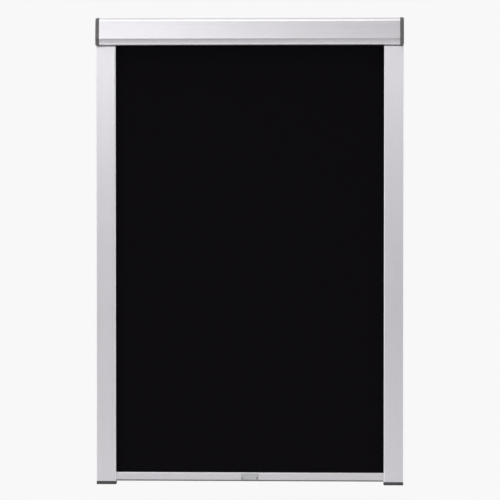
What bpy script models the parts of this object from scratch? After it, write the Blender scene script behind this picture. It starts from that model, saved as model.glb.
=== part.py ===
"""Blackout roller blind for a roof window, fully lowered.

The blind is screwed to the window frame, which is the XZ plane. X runs across the blind, Z runs up,
and the room is on the -Y side. The origin is the middle of the headbox's flat back.

Sections are drawn in two plain directions: forward is the distance in front of the window frame,
and outward is the distance from the inner edge of a side rail towards the outside of the blind.
"""

import math

import bmesh
import bpy

MM = 0.001

# Overall size
BLIND_WIDTH = 615.0 * MM
BLIND_HEIGHT = 934.0 * MM

# Clearances
SEAT_GAP = 0.3 * MM
SLIDE_GAP = 0.6 * MM
ROLL_GAP = 0.15 * MM
BAR_TOP_GAP = 1.5 * MM

# Cloth
CLOTH_THICKNESS = 0.35 * MM
CLOTH_LAP = 14.0 * MM
TURNS_LEFT_ON_TUBE = 2

# Headbox
HEADBOX_HEIGHT = 55.0 * MM
HEADBOX_DEPTH = 37.0 * MM
HEADBOX_WALL = 1.3 * MM
FACE_TILT = 8.0
CORNER_RADIUS = 7.0 * MM
FACE_DROP = 41.8 * MM
STEP_SETBACK = 2.2 * MM
STEP_EDGE_RADIUS = 0.8 * MM
BEAD_RADIUS = 1.5 * MM
SLOT_WIDTH = 6.9 * MM
SLOT_BACK = 4.6 * MM
HOOK_REACH = 14.0 * MM
HOOK_DROP = 3.2 * MM
HOOK_BARB = 1.0 * MM
BASE_HOLE_RADIUS = 2.1 * MM
BASE_HOLE_UP = 5.0 * MM
BASE_HOLE_SPACING = 130.0 * MM
SEAL_DEPTH = 5.0 * MM
SEAL_HEIGHT = 1.4 * MM

# Screw ports of the headbox base, and the screws in them
PORT_FORWARD = 4.0 * MM
PORT_BORE = 1.5 * MM
PORT_WALL = 0.9 * MM
PORT_OPENING = 35.0
PORT_UPPER = 19.5 * MM
PORT_LOWER = -12.0 * MM
SCREW_SHANK = 1.2 * MM
SCREW_LENGTH = 16.0 * MM
SCREW_HEAD_RADIUS = 2.3 * MM
SCREW_HEAD_HEIGHT = 1.9 * MM
SCREW_TIP = 0.4 * MM
SCREW_CROWN_RADIUS = 1.6 * MM
SCREW_CROWN_HEIGHT = 0.6 * MM
RECESS_LENGTH = 2.6 * MM
RECESS_WIDTH = 0.6 * MM
RECESS_DEPTH = 1.0 * MM

# End caps
CAP_THICKNESS = 7.2 * MM
CAP_PROUD = 0.4 * MM
CAP_ROUND = 2.5 * MM
BLOCK_THICKNESS = 5.0 * MM
BLOCK_HALF_HEIGHT = 16.0 * MM
BLOCK_HALF_DEPTH = 9.5 * MM
SOCKET_DEPTH = 4.0 * MM
TONGUE_REACH = 32.0 * MM
TONGUE_SIDE_GAP = 0.45 * MM

# Roller
TUBE_RADIUS = 9.0 * MM
TUBE_WALL = 1.2 * MM
TUBE_END_ROOM = 9.3 * MM
PLUG_LENGTH = 18.0 * MM
FLANGE_THICKNESS = 1.5 * MM
PIN_RADIUS = 2.0 * MM
PIN_IN_PLUG = 12.0 * MM
BUSH_WALL = 2.2 * MM
BUSH_FLANGE_RADIUS = 6.0 * MM
BUSH_FLANGE = 1.0 * MM
ROD_RADIUS = 2.9 * MM
ROD_LENGTH = 236.0 * MM
ANCHOR_LENGTH = 12.0 * MM
ANCHOR_INSET = 6.0 * MM
SPRING_RADIUS = 5.0 * MM
SPRING_WIRE = 0.55 * MM
SPRING_TURNS = 20
SPRING_STEPS_PER_TURN = 8

# Side rails
RAIL_WIDTH = 39.5 * MM
RAIL_DEPTH = 17.0 * MM
RAIL_WALL = 1.2 * MM
COVER_WALL = 1.2 * MM
INNER_EDGE_RADIUS = 3.0 * MM
OUTER_EDGE_RADIUS = 2.5 * MM
RAIL_TOP_GAP = 0.7 * MM
GUIDE_WIDTH = 16.0 * MM
FLANGE_DEPTH = 7.0 * MM
CLIP_THICKNESS = 1.0 * MM
CLIP_DEPTH = 4.0 * MM
CLIP_BARB = 0.6 * MM
CLIP_HEIGHT = 1.0 * MM
RAIL_HOLE_RADIUS = 2.1 * MM
RAIL_HOLE_INSET = 62.0 * MM
FOOT_HEIGHT = 6.5 * MM
FOOT_ROUND = 0.8 * MM
FOOT_TONGUE = 14.0 * MM
FOOT_TONGUE_DEPTH = 9.7 * MM

# Brush strips in the rails
PILE_START = 2.6 * MM
PILE_BACKING_WIDTH = 5.2 * MM
PILE_BACKING = 0.8 * MM
PILE_WIDTH = 2.6 * MM
PILE_LIP = 0.9 * MM
PILE_TIP_GAP = 0.9 * MM
PILE_END_INSET = 0.8 * MM

# Pull bar
BAR_HEIGHT = 18.8 * MM
BAR_THICKNESS = 8.0 * MM
BAR_WALL = 1.2 * MM
BAR_IN_RAIL = 2.2 * MM
BAR_MOUTH_GAP = 0.4 * MM
BAR_FRONT_RADIUS = 2.6 * MM
BAR_BACK_RADIUS = 1.0 * MM
SEAL_SHOW = 2.8 * MM
SEAL_SLOT_WIDTH = 2.4 * MM
SEAL_SLOT_HEAD = 4.8 * MM
SEAL_SLOT_HEIGHT = 1.6 * MM
BAR_SEAL_THICKNESS = 5.2 * MM
HOLLOW_HEIGHT = 4.5 * MM
HOLLOW_FLOOR = 1.3 * MM
HEM_GROOVE_RADIUS = 2.2 * MM
HEM_GROOVE_COVER = 1.6 * MM
HEM_MOUTH = 1.5 * MM
HEM_ROD_RADIUS = 1.25 * MM
HEM_INSET = 2.0 * MM

# Finger grip
GRIP_WIDTH = 35.0 * MM
GRIP_TOP_INSET = 2.8 * MM
GRIP_HEIGHT = 12.6 * MM
GRIP_TOP_THICKNESS = 1.6 * MM
GRIP_REACH = 7.0 * MM
GRIP_LIP_HEIGHT = 1.6 * MM
GRIP_LIP_THICKNESS = 1.4 * MM
GRIP_GROOVE_DEPTH = 4.2 * MM
GRIP_GROOVE_BACK = 3.2 * MM
GRIP_SIDE_SLOPE = 22.0
GRIP_ROUND = 0.35 * MM
PEG_RADIUS = 1.5 * MM
PEG_SPACING = 18.0 * MM
PEG_LENGTH = 0.8 * MM

# Sliders at the bar's ends, and what brakes them
CHEEK_THICKNESS = 1.8 * MM
CHEEK_INSET = 0.4 * MM
WEB_THICKNESS = 1.2 * MM
SPIGOT_LENGTH = 20.0 * MM
SLIDER_TOP_INSET = 0.5 * MM
POCKET_WIDTH = 8.0 * MM
POCKET_HEIGHT = 11.0 * MM
POCKET_DEPTH = 4.5 * MM
PAD_THICKNESS = 2.4 * MM
LEAF_THICKNESS = 0.4 * MM
LEAF_WIDTH = 5.0 * MM

# Fineness of round shapes, and the angles from which an edge is rounded or shaded as an edge
ROUND_SIDES = 32
SMALL_SIDES = 16
ARC_STEPS = 6
ROUNDED_FROM = 40.0
EDGE_FROM = 30.0

# Places that follow from the sizes
HALF_WIDTH = BLIND_WIDTH / 2
HALF_HEADBOX = HEADBOX_HEIGHT / 2
RAIL_INNER = HALF_WIDTH - RAIL_WIDTH
RAIL_TOP = -HALF_HEADBOX - RAIL_TOP_GAP
BLIND_BOTTOM = HALF_HEADBOX - BLIND_HEIGHT
RAIL_BOTTOM = BLIND_BOTTOM + FOOT_HEIGHT
RAIL_MIDDLE = (RAIL_TOP + RAIL_BOTTOM) / 2
RAIL_HALF_LENGTH = (RAIL_TOP - RAIL_BOTTOM) / 2
HEADBOX_END = HALF_WIDTH - CAP_THICKNESS - SEAT_GAP
CHANNEL_DEPTH = RAIL_DEPTH - COVER_WALL - SEAT_GAP
CLOTH_FORWARD = CHANNEL_DEPTH / 2
CLOTH_HALF_WIDTH = RAIL_INNER + CLOTH_LAP
ROLL_RADIUS = TUBE_RADIUS + TURNS_LEFT_ON_TUBE * CLOTH_THICKNESS
ROLLER_FORWARD = CLOTH_FORWARD - CLOTH_THICKNESS / 2 + ROLL_RADIUS
SLOT_FRONT = SLOT_BACK + SLOT_WIDTH
BLOCK_FACE = HALF_WIDTH - CAP_THICKNESS - BLOCK_THICKNESS
TUBE_END = BLOCK_FACE - TUBE_END_ROOM
PLUG_RADIUS = TUBE_RADIUS - TUBE_WALL - SEAT_GAP
PLUG_INNER_END = TUBE_END - PLUG_LENGTH
BUSH_RADIUS = PIN_RADIUS + SEAT_GAP + BUSH_WALL
SOCKET_END = BLOCK_FACE + SOCKET_DEPTH
PORT_OUTER = PORT_BORE + PORT_WALL

GROOVE_WIDTH = PILE_BACKING_WIDTH + 2 * SEAT_GAP
GROOVE_DEPTH = PILE_BACKING + 2 * SEAT_GAP
GROOVE_START = PILE_START + RAIL_WALL
GROOVE_MIDDLE = GROOVE_START + GROOVE_WIDTH / 2
GUIDE_START = GROOVE_START + GROOVE_WIDTH + RAIL_WALL
GUIDE_END = GUIDE_START + GUIDE_WIDTH
SCREW_ROOM_START = GUIDE_END + RAIL_WALL
CHANNEL_WIDTH = RAIL_WIDTH - COVER_WALL - SEAT_GAP
SCREW_ROOM_END = CHANNEL_WIDTH - RAIL_WALL
SCREW_ROOM_MIDDLE = (SCREW_ROOM_START + SCREW_ROOM_END) / 2
MOUTH_BACK = CLOTH_FORWARD - BAR_THICKNESS / 2 - BAR_MOUTH_GAP
CLIP_START = SCREW_ROOM_START + CLIP_BARB + SEAT_GAP

BAR_HALF = BAR_THICKNESS / 2
BAR_END = RAIL_INNER + BAR_IN_RAIL
BAR_REST_TOP = RAIL_BOTTOM + BAR_HEIGHT
BAR_TRAVEL = -HALF_HEADBOX - BAR_TOP_GAP - BAR_REST_TOP
HOLLOW_BOTTOM = SEAL_SHOW + BAR_WALL + SEAL_SLOT_HEIGHT + HOLLOW_FLOOR
HEM_UP = BAR_HEIGHT - HEM_GROOVE_COVER - HEM_GROOVE_RADIUS
HEM_LOOP_BORE = HEM_ROD_RADIUS + SEAT_GAP
HEM_LOOP_RADIUS = HEM_LOOP_BORE + CLOTH_THICKNESS

# Colour, roughness and metallic value of each finish
FINISHES = {
    "satin_aluminium": ((0.80, 0.79, 0.81), 0.38, 0.9),
    "grip_grey": ((0.42, 0.42, 0.44), 0.45, 0.3),
    "dark_plastic": ((0.10, 0.095, 0.10), 0.55, 0.0),
    "black_cloth": ((0.006, 0.005, 0.007), 0.9, 0.0),
    "seal_grey": ((0.12, 0.12, 0.13), 0.8, 0.0),
    "black_pile": ((0.01, 0.01, 0.01), 0.95, 0.0),
    "white_nylon": ((0.75, 0.74, 0.70), 0.5, 0.0),
    "bright_steel": ((0.55, 0.55, 0.56), 0.3, 1.0),
    "felt": ((0.25, 0.24, 0.23), 1.0, 0.0),
}


def spread(start, end, steps):
    """Evenly spaced values from start to end, both included."""
    return [start + (end - start) * step / steps for step in range(steps + 1)]


def arc(centre, radius, start, end, steps=ARC_STEPS):
    """Points round a centre from one angle to another, in degrees."""
    turns = [math.radians(angle) for angle in spread(start, end, steps)]
    return [(centre[0] + radius * math.cos(turn), centre[1] + radius * math.sin(turn)) for turn in turns]


def rectangle(low, high):
    return [(low[0], low[1]), (high[0], low[1]), (high[0], high[1]), (low[0], high[1])]


def stacked(rings, hollow=False):
    """Joins rings with the same number of points. A hollow piece goes back to its first ring."""
    shape = bmesh.new()
    loops = [[shape.verts.new(point) for point in ring] for ring in rings]
    pairs = list(zip(loops, loops[1:]))
    if hollow:
        pairs.append((loops[-1], loops[0]))
    else:
        shape.faces.new(loops[0])
        shape.faces.new(loops[-1])
    for near, far in pairs:
        for index, corner in enumerate(near):
            after = (index + 1) % len(near)
            shape.faces.new((corner, near[after], far[after], far[index]))
    bmesh.ops.recalc_face_normals(shape, faces=shape.faces)
    return shape


def across(outline, left, right):
    """A section drawn in (forward, up), run across the blind."""
    return stacked([[(x, -forward, up) for forward, up in outline] for x in (left, right)])


def upright(outline, side, bottom, top):
    """A section drawn in (outward, forward), run up the blind on its left (-1) or right (1) side."""
    section = [(side * outward, -forward) for outward, forward in outline]
    return stacked([[(x, y, up) for x, y in section] for up in (bottom, top)])


def turned(profile, sides=ROUND_SIDES, hollow=False):
    """A profile of (along, radius) points turned about the X axis."""
    rings = []
    for x, radius in profile:
        circle = arc((0, 0), radius, 0, 360 - 360 / sides, sides - 1)
        rings.append([(x, forward, up) for forward, up in circle])
    return stacked(rings, hollow)


def drilling(radius, x, up, start, end, sides=SMALL_SIDES):
    """A round bar that runs forward, used for holes and pegs."""
    circle = arc((x, up), radius, 0, 360 - 360 / sides, sides - 1)
    return stacked([[(a, -forward, b) for a, b in circle] for forward in (start, end)])


def smooth(mesh):
    mesh.shade_smooth()
    mesh.set_sharp_from_angle(angle=math.radians(EDGE_FROM))


def linked(shape, name, parent, at):
    mesh = bpy.data.meshes.new(name)
    shape.to_mesh(mesh)
    shape.free()
    smooth(mesh)
    piece = bpy.data.objects.new(name, mesh)
    bpy.context.scene.collection.objects.link(piece)
    piece.parent = parent
    piece.location = at
    return piece


def give_material(piece, finish):
    """Each piece has a material of its own, with the colour, roughness and metallic value of a finish."""
    colour, roughness, metallic = FINISHES[finish]
    material = bpy.data.materials.new(piece.name + "_" + finish)
    material.use_nodes = True
    shader = material.node_tree.nodes["Principled BSDF"]
    shader.inputs["Base Color"].default_value = (*colour, 1)
    shader.inputs["Roughness"].default_value = roughness
    shader.inputs["Metallic"].default_value = metallic
    piece.data.materials.append(material)


def make(shape, name, finish, parent, at=(0, 0, 0)):
    piece = linked(shape, name, parent, at)
    give_material(piece, finish)
    return piece


def combine(piece, shape, operation):
    """Cuts a shape from a piece or joins it on. The shape is drawn in the piece's own coordinates."""
    helper = linked(shape, piece.name + "_" + operation.lower(), piece.parent, piece.location)
    helper.hide_render = True
    helper.display_type = "WIRE"
    modifier = piece.modifiers.new(operation.lower(), "BOOLEAN")
    modifier.operation = operation
    modifier.object = helper


def round_edges(piece, width, segments=2):
    bevel = piece.modifiers.new("rounding", "BEVEL")
    bevel.width = width
    bevel.segments = segments
    bevel.limit_method = "ANGLE"
    bevel.angle_limit = math.radians(ROUNDED_FROM)


def empty(name, at):
    holder = bpy.data.objects.new(name, None)
    bpy.context.scene.collection.objects.link(holder)
    holder.location = at
    return holder


# Headbox


def headbox_face(grow, edge):
    """The headbox's outline from its top back edge round the front to its bottom back edge.

    It runs outside the headbox's surface by grow, or inside it where grow is below zero. The edge of
    the step has the radius edge.
    """
    tilt = math.radians(FACE_TILT)
    slope = math.tan(tilt)
    step = HALF_HEADBOX - FACE_DROP
    corner_up = HALF_HEADBOX - CORNER_RADIUS
    face_height = corner_up + CORNER_RADIUS * math.sin(tilt) - step
    corner_forward = HEADBOX_DEPTH - CORNER_RADIUS * math.cos(tilt) - face_height * slope
    edge_up = step - grow
    edge_forward = HEADBOX_DEPTH + grow * (1 + math.sin(tilt)) / math.cos(tilt)
    centre_up = edge_up + edge
    centre_forward = edge_forward - (edge + edge * math.sin(tilt)) / math.cos(tilt)
    band = HEADBOX_DEPTH - STEP_SETBACK
    bead = (band - BEAD_RADIUS, BEAD_RADIUS - HALF_HEADBOX)
    points = [(0, HALF_HEADBOX + grow)]
    points += arc((corner_forward, corner_up), CORNER_RADIUS + grow, 90, FACE_TILT)
    if edge:
        points += arc((centre_forward, centre_up), edge, FACE_TILT, -90, 3)
    else:
        points.append((edge_forward, edge_up))
    points.append((band + grow, edge_up))
    points += arc(bead, BEAD_RADIUS + grow, 0, -90, 3)
    points.append((0, -HALF_HEADBOX - grow))
    return points


def headbox_cover(parent):
    """Front shell, which hooks over the base's top edge and ends at the slot for the cloth."""
    outside = headbox_face(0, STEP_EDGE_RADIUS)
    outside[-1] = (SLOT_FRONT, -HALF_HEADBOX)
    inside = headbox_face(-HEADBOX_WALL, 0)
    inside[-1] = (SLOT_FRONT, HEADBOX_WALL - HALF_HEADBOX)
    ceiling = HALF_HEADBOX - HEADBOX_WALL
    back = HOOK_REACH + SEAT_GAP
    front = back + HEADBOX_WALL
    bottom = ceiling - HOOK_DROP - 2 * SEAT_GAP - HOOK_BARB
    hook = [
        (back, ceiling),
        (back, bottom + HOOK_BARB),
        (back - HOOK_BARB, bottom + HOOK_BARB),
        (back - HOOK_BARB, bottom),
        (front, bottom),
        (front, ceiling),
    ]
    outline = outside + [inside[-1]] + inside[-2:0:-1] + hook[::-1] + [inside[0]]
    make(across(outline, -HEADBOX_END, HEADBOX_END), "headbox_cover", "satin_aluminium", parent)


def screw_port(up):
    """An open round port for a screw, on the front of the base's back wall, from top to bottom."""
    centre = (PORT_FORWARD, up)
    upper = arc(centre, PORT_OUTER, 90, PORT_OPENING, 3)
    bore = arc(centre, PORT_BORE, PORT_OPENING, 360 - PORT_OPENING, 10)
    lower = arc(centre, PORT_OUTER, -PORT_OPENING, -90, 3)
    return [(HEADBOX_WALL, up + PORT_OUTER)] + upper + bore + lower + [(HEADBOX_WALL, up - PORT_OUTER)]


def headbox_base(parent):
    """Back rail of the headbox, screwed to the window frame through four holes."""
    top = HALF_HEADBOX - HEADBOX_WALL - SEAT_GAP
    floor = HEADBOX_WALL - HALF_HEADBOX
    outline = [
        (0, -HALF_HEADBOX),
        (0, top),
        (HOOK_REACH, top),
        (HOOK_REACH, top - HOOK_DROP),
        (HOOK_REACH - HEADBOX_WALL, top - HOOK_DROP),
        (HOOK_REACH - HEADBOX_WALL, top - HEADBOX_WALL),
        (HEADBOX_WALL, top - HEADBOX_WALL),
    ]
    outline += screw_port(PORT_UPPER) + screw_port(PORT_LOWER)
    outline += [(HEADBOX_WALL, floor), (SLOT_BACK, floor), (SLOT_BACK, -HALF_HEADBOX)]
    base = make(across(outline, -HEADBOX_END, HEADBOX_END), "headbox_base", "satin_aluminium", parent)
    for place in (-1.5, -0.5, 0.5, 1.5):
        x = place * BASE_HOLE_SPACING
        hole = drilling(BASE_HOLE_RADIUS, x, BASE_HOLE_UP, -HEADBOX_WALL, 2 * HEADBOX_WALL)
        combine(base, hole, "DIFFERENCE")


def headbox_seal(parent):
    """Strip on the base's lower lip, which closes the slot behind the cloth."""
    bottom = HEADBOX_WALL + SEAT_GAP - HALF_HEADBOX
    front = CLOTH_FORWARD - CLOTH_THICKNESS / 2 - SEAT_GAP
    outline = rectangle((front - SEAL_DEPTH, bottom), (front, bottom + SEAL_HEIGHT))
    half = BLOCK_FACE - SEAT_GAP
    make(across(outline, -half, half), "headbox_seal", "black_pile", parent)


# End caps


def end_cap(side, name, parent):
    """Plastic cap with a bearing block inside the headbox and a tongue that holds the rail's top."""
    outline = headbox_face(CAP_PROUD, STEP_EDGE_RADIUS)
    depth = HEADBOX_DEPTH + CAP_PROUD
    half = HALF_HEADBOX + CAP_PROUD
    rings = [[(0, -forward, up) for forward, up in outline]]
    for turn in spread(0, math.pi / 2, 4):
        inset = CAP_ROUND * (1 - math.cos(turn))
        x = side * (CAP_THICKNESS - CAP_ROUND * (1 - math.sin(turn)))
        narrow, low = 1 - inset / depth, 1 - inset / half
        rings.append([(x, -forward * narrow, up * low) for forward, up in outline])
    cap = make(stacked(rings), name, "dark_plastic", parent, (side * (HALF_WIDTH - CAP_THICKNESS), 0, 0))
    low = (ROLLER_FORWARD - BLOCK_HALF_DEPTH, -BLOCK_HALF_HEIGHT)
    high = (ROLLER_FORWARD + BLOCK_HALF_DEPTH, BLOCK_HALF_HEIGHT)
    inward = side * -BLOCK_THICKNESS
    combine(cap, across(rectangle(low, high), inward, side * CAP_THICKNESS / 2), "UNION")
    combine(cap, cap_tongue(side), "UNION")
    for up in (PORT_UPPER, PORT_LOWER):
        combine(cap, screw_hole(side, up), "DIFFERENCE")
    radius, sides = (ROD_RADIUS, 6) if side > 0 else (BUSH_RADIUS, ROUND_SIDES)
    mouth, floor = inward - side * SEAT_GAP, inward + side * SOCKET_DEPTH
    socket = turned([(mouth, radius + SEAT_GAP), (floor, radius + SEAT_GAP)], sides)
    for corner in socket.verts:
        corner.co.y -= ROLLER_FORWARD
    combine(cap, socket, "DIFFERENCE")


def cap_tongue(side):
    """The part of an end cap that passes down through the cloth's slot into the rail's screw room."""
    offset = RAIL_WIDTH - CAP_THICKNESS
    start = SCREW_ROOM_START + SEAT_GAP - offset
    end = SCREW_ROOM_END - SEAT_GAP - offset
    low = (start, SLOT_BACK + TONGUE_SIDE_GAP)
    high = (end, SLOT_FRONT - TONGUE_SIDE_GAP)
    top = PORT_LOWER - PORT_OUTER - SEAT_GAP
    return upright(rectangle(low, high), side, RAIL_TOP - TONGUE_REACH, top)


def screw_hole(side, up):
    """A clearance hole through the end cap, with a sunk seat for the screw's head."""
    shank = PORT_BORE
    head = SCREW_HEAD_RADIUS + SEAT_GAP
    seat = CAP_THICKNESS - SCREW_HEAD_HEIGHT - 2 * SEAT_GAP
    outside = CAP_THICKNESS + SEAT_GAP
    profile = [(-SEAT_GAP, shank), (seat, shank), (seat, head), (outside, head)]
    hole = turned([(side * x, radius) for x, radius in profile], SMALL_SIDES)
    for corner in hole.verts:
        corner.co.y -= PORT_FORWARD
        corner.co.z += up
    return hole


def end_cap_screw(side, up, name, parent):
    """Cross-headed screw, from its tip in the port to its head in the end cap."""
    outer = HALF_WIDTH - SEAT_GAP
    under_head = outer - SCREW_HEAD_HEIGHT
    profile = [
        (under_head - SCREW_LENGTH, SCREW_TIP),
        (under_head - SCREW_LENGTH + SCREW_SHANK, SCREW_SHANK),
        (under_head, SCREW_SHANK),
        (under_head, SCREW_HEAD_RADIUS),
        (outer - SCREW_CROWN_HEIGHT, SCREW_HEAD_RADIUS),
        (outer, SCREW_CROWN_RADIUS),
    ]
    shape = turned([(side * x, radius) for x, radius in profile], SMALL_SIDES)
    screw = make(shape, name, "bright_steel", parent, (0, -PORT_FORWARD, up))
    long, short = RECESS_LENGTH / 2, RECESS_WIDTH / 2
    plus = [(short, long), (short, short), (long, short)]
    plus += [(forward, -height) for forward, height in reversed(plus)]
    plus += [(-forward, height) for forward, height in reversed(plus)]
    start, end = side * (outer - RECESS_DEPTH), side * (outer + SEAT_GAP)
    combine(screw, across(plus, start, end), "DIFFERENCE")


# Roller


def roller_pieces(roller, frame):
    """The tube with its plugs and the turns of cloth left on it, and what holds it in the end caps."""
    bore = TUBE_RADIUS - TUBE_WALL
    tube = [(-TUBE_END, bore), (-TUBE_END, TUBE_RADIUS), (TUBE_END, TUBE_RADIUS), (TUBE_END, bore)]
    make(turned(tube, ROUND_SIDES, True), "roller_tube", "satin_aluminium", roller)
    cloth_bore = TUBE_RADIUS + ROLL_GAP
    half = CLOTH_HALF_WIDTH
    roll = [(-half, cloth_bore), (-half, ROLL_RADIUS), (half, ROLL_RADIUS), (half, cloth_bore)]
    make(turned(roll, ROUND_SIDES, True), "fabric_roll", "black_cloth", roller)
    make(plug(-1, PIN_RADIUS + SEAT_GAP), "idle_plug", "white_nylon", roller)
    make(plug(1, ROD_RADIUS + SEAT_GAP), "drive_plug", "white_nylon", roller)
    pin = [(PIN_IN_PLUG - TUBE_END, PIN_RADIUS), (SEAT_GAP - SOCKET_END, PIN_RADIUS)]
    make(turned(pin, SMALL_SIDES), "idle_pin", "bright_steel", roller)

    axis = (0, -ROLLER_FORWARD, 0)
    bore = PIN_RADIUS + SEAT_GAP
    inner = BLOCK_FACE - SEAT_GAP
    bush = [
        (-SOCKET_END + SEAT_GAP, bore),
        (-SOCKET_END + SEAT_GAP, BUSH_RADIUS),
        (-inner, BUSH_RADIUS),
        (-inner, BUSH_FLANGE_RADIUS),
        (BUSH_FLANGE - inner, BUSH_FLANGE_RADIUS),
        (BUSH_FLANGE - inner, bore),
    ]
    make(turned(bush, ROUND_SIDES, True), "idle_bush", "white_nylon", frame, axis)
    rod_end = SOCKET_END - SEAT_GAP
    rod = turned([(rod_end - ROD_LENGTH, ROD_RADIUS), (rod_end, ROD_RADIUS)], 6)
    make(rod, "spring_rod", "bright_steel", frame, axis)
    start = rod_end - ROD_LENGTH + ANCHOR_INSET
    end = start + ANCHOR_LENGTH
    bore = ROD_RADIUS + SEAT_GAP
    anchor = [(start, bore), (start, PLUG_RADIUS), (end, PLUG_RADIUS), (end, bore)]
    make(turned(anchor, ROUND_SIDES, True), "spring_anchor", "white_nylon", frame, axis)
    torsion_spring(end + SEAT_GAP, PLUG_INNER_END - SEAT_GAP, frame, axis)


def plug(side, bore):
    """A plug pressed into one end of the tube, with a flange against the tube's end."""
    seat = TUBE_END + SEAT_GAP
    flange = seat + FLANGE_THICKNESS
    profile = [
        (PLUG_INNER_END, bore),
        (PLUG_INNER_END, PLUG_RADIUS),
        (seat, PLUG_RADIUS),
        (seat, TUBE_RADIUS),
        (flange, TUBE_RADIUS),
        (flange, bore),
    ]
    return turned([(side * x, radius) for x, radius in profile], ROUND_SIDES, True)


def torsion_spring(start, end, parent, axis):
    """The spring that winds the cloth up, coiled round the rod between the anchor and the plug."""
    curve = bpy.data.curves.new("torsion_spring", "CURVE")
    curve.dimensions = "3D"
    curve.bevel_depth = SPRING_WIRE
    curve.bevel_resolution = 1
    curve.use_fill_caps = True
    steps = SPRING_TURNS * SPRING_STEPS_PER_TURN
    line = curve.splines.new("POLY")
    line.points.add(steps)
    places = spread(start + SPRING_WIRE, end - SPRING_WIRE, steps)
    for step, (point, x) in enumerate(zip(line.points, places)):
        turn = 2 * math.pi * step / SPRING_STEPS_PER_TURN
        point.co = (x, SPRING_RADIUS * math.cos(turn), SPRING_RADIUS * math.sin(turn), 1)
    spring = bpy.data.objects.new("torsion_spring", curve)
    bpy.context.scene.collection.objects.link(spring)
    spring.parent = parent
    spring.location = axis
    give_material(spring, "bright_steel")


# Side rails


def across_cloth(points):
    """The same points on the room side of the cloth, in the opposite order."""
    return [(outward, CHANNEL_DEPTH - forward) for outward, forward in reversed(points)]


def pile_groove():
    """The T-shaped groove that holds a brush strip, from the rail's mouth towards its guide room."""
    end = GROOVE_START + GROOVE_WIDTH
    open_half = PILE_WIDTH / 2 + SEAT_GAP
    lip = RAIL_WALL + GROOVE_DEPTH
    top = lip + PILE_LIP
    return [
        (PILE_START, top),
        (GROOVE_MIDDLE - open_half, top),
        (GROOVE_MIDDLE - open_half, lip),
        (GROOVE_START, lip),
        (GROOVE_START, RAIL_WALL),
        (end, RAIL_WALL),
        (end, lip),
        (GROOVE_MIDDLE + open_half, lip),
        (GROOVE_MIDDLE + open_half, top),
        (GUIDE_START, top),
        (GUIDE_START, RAIL_WALL),
        (GUIDE_END, RAIL_WALL),
    ]


def rail_channel(side, name, parent):
    """Channel screwed to the window frame: brush grooves, the slider's guide room, the screw room."""
    groove = pile_groove()
    catch = CHANNEL_DEPTH - RAIL_WALL
    outline = [(0, 0), (0, MOUTH_BACK), (RAIL_WALL, MOUTH_BACK), (RAIL_WALL, RAIL_WALL)]
    outline += [(PILE_START, RAIL_WALL)] + groove + across_cloth(groove)
    outline += [
        (PILE_START, CHANNEL_DEPTH),
        (SCREW_ROOM_START, CHANNEL_DEPTH),
        (SCREW_ROOM_START, catch),
        (SCREW_ROOM_START + CLIP_BARB, catch),
        (SCREW_ROOM_START + CLIP_BARB, catch - CLIP_HEIGHT),
        (SCREW_ROOM_START, catch - CLIP_HEIGHT),
        (SCREW_ROOM_START, RAIL_WALL),
        (SCREW_ROOM_END, RAIL_WALL),
        (SCREW_ROOM_END, FLANGE_DEPTH),
        (CHANNEL_WIDTH, FLANGE_DEPTH),
        (CHANNEL_WIDTH, 0),
    ]
    shape = upright(outline, side, -RAIL_HALF_LENGTH, RAIL_HALF_LENGTH)
    channel = make(shape, name, "satin_aluminium", parent, (side * RAIL_INNER, 0, RAIL_MIDDLE))
    reach = RAIL_HALF_LENGTH - RAIL_HOLE_INSET
    x = side * SCREW_ROOM_MIDDLE
    for up in spread(-reach, reach, 2):
        combine(channel, drilling(RAIL_HOLE_RADIUS, x, up, -RAIL_WALL, 2 * RAIL_WALL), "DIFFERENCE")


def rail_front(wall):
    """A rail's outline round its two front edges, wall inside its surface, from outer to inner edge."""
    outer = (RAIL_WIDTH - OUTER_EDGE_RADIUS, RAIL_DEPTH - OUTER_EDGE_RADIUS)
    inner = (INNER_EDGE_RADIUS, RAIL_DEPTH - INNER_EDGE_RADIUS)
    return arc(outer, OUTER_EDGE_RADIUS - wall, 0, 90), arc(inner, INNER_EDGE_RADIUS - wall, 90, 180)


def rail_cover(side, name, parent):
    """Front cover, clipped over the channel, rounded at both edges and turned in at the mouth."""
    outer, inner = rail_front(0)
    outer_lining, inner_lining = rail_front(COVER_WALL)
    mouth = CHANNEL_DEPTH - MOUTH_BACK
    ceiling = RAIL_DEPTH - COVER_WALL
    tip = ceiling - CLIP_DEPTH
    clip = [
        (CLIP_START, ceiling),
        (CLIP_START, tip + CLIP_HEIGHT),
        (CLIP_START - CLIP_BARB, tip + CLIP_HEIGHT),
        (CLIP_START - CLIP_BARB, tip),
        (CLIP_START + CLIP_THICKNESS, tip),
        (CLIP_START + CLIP_THICKNESS, ceiling),
    ]
    outline = [(RAIL_WIDTH, 0)] + outer + inner + [(0, mouth), (COVER_WALL, mouth)]
    outline += inner_lining[::-1] + clip + outer_lining[::-1] + [(RAIL_WIDTH - COVER_WALL, 0)]
    shape = upright(outline, side, -RAIL_HALF_LENGTH, RAIL_HALF_LENGTH)
    make(shape, name, "satin_aluminium", parent, (side * RAIL_INNER, 0, RAIL_MIDDLE))


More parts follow.
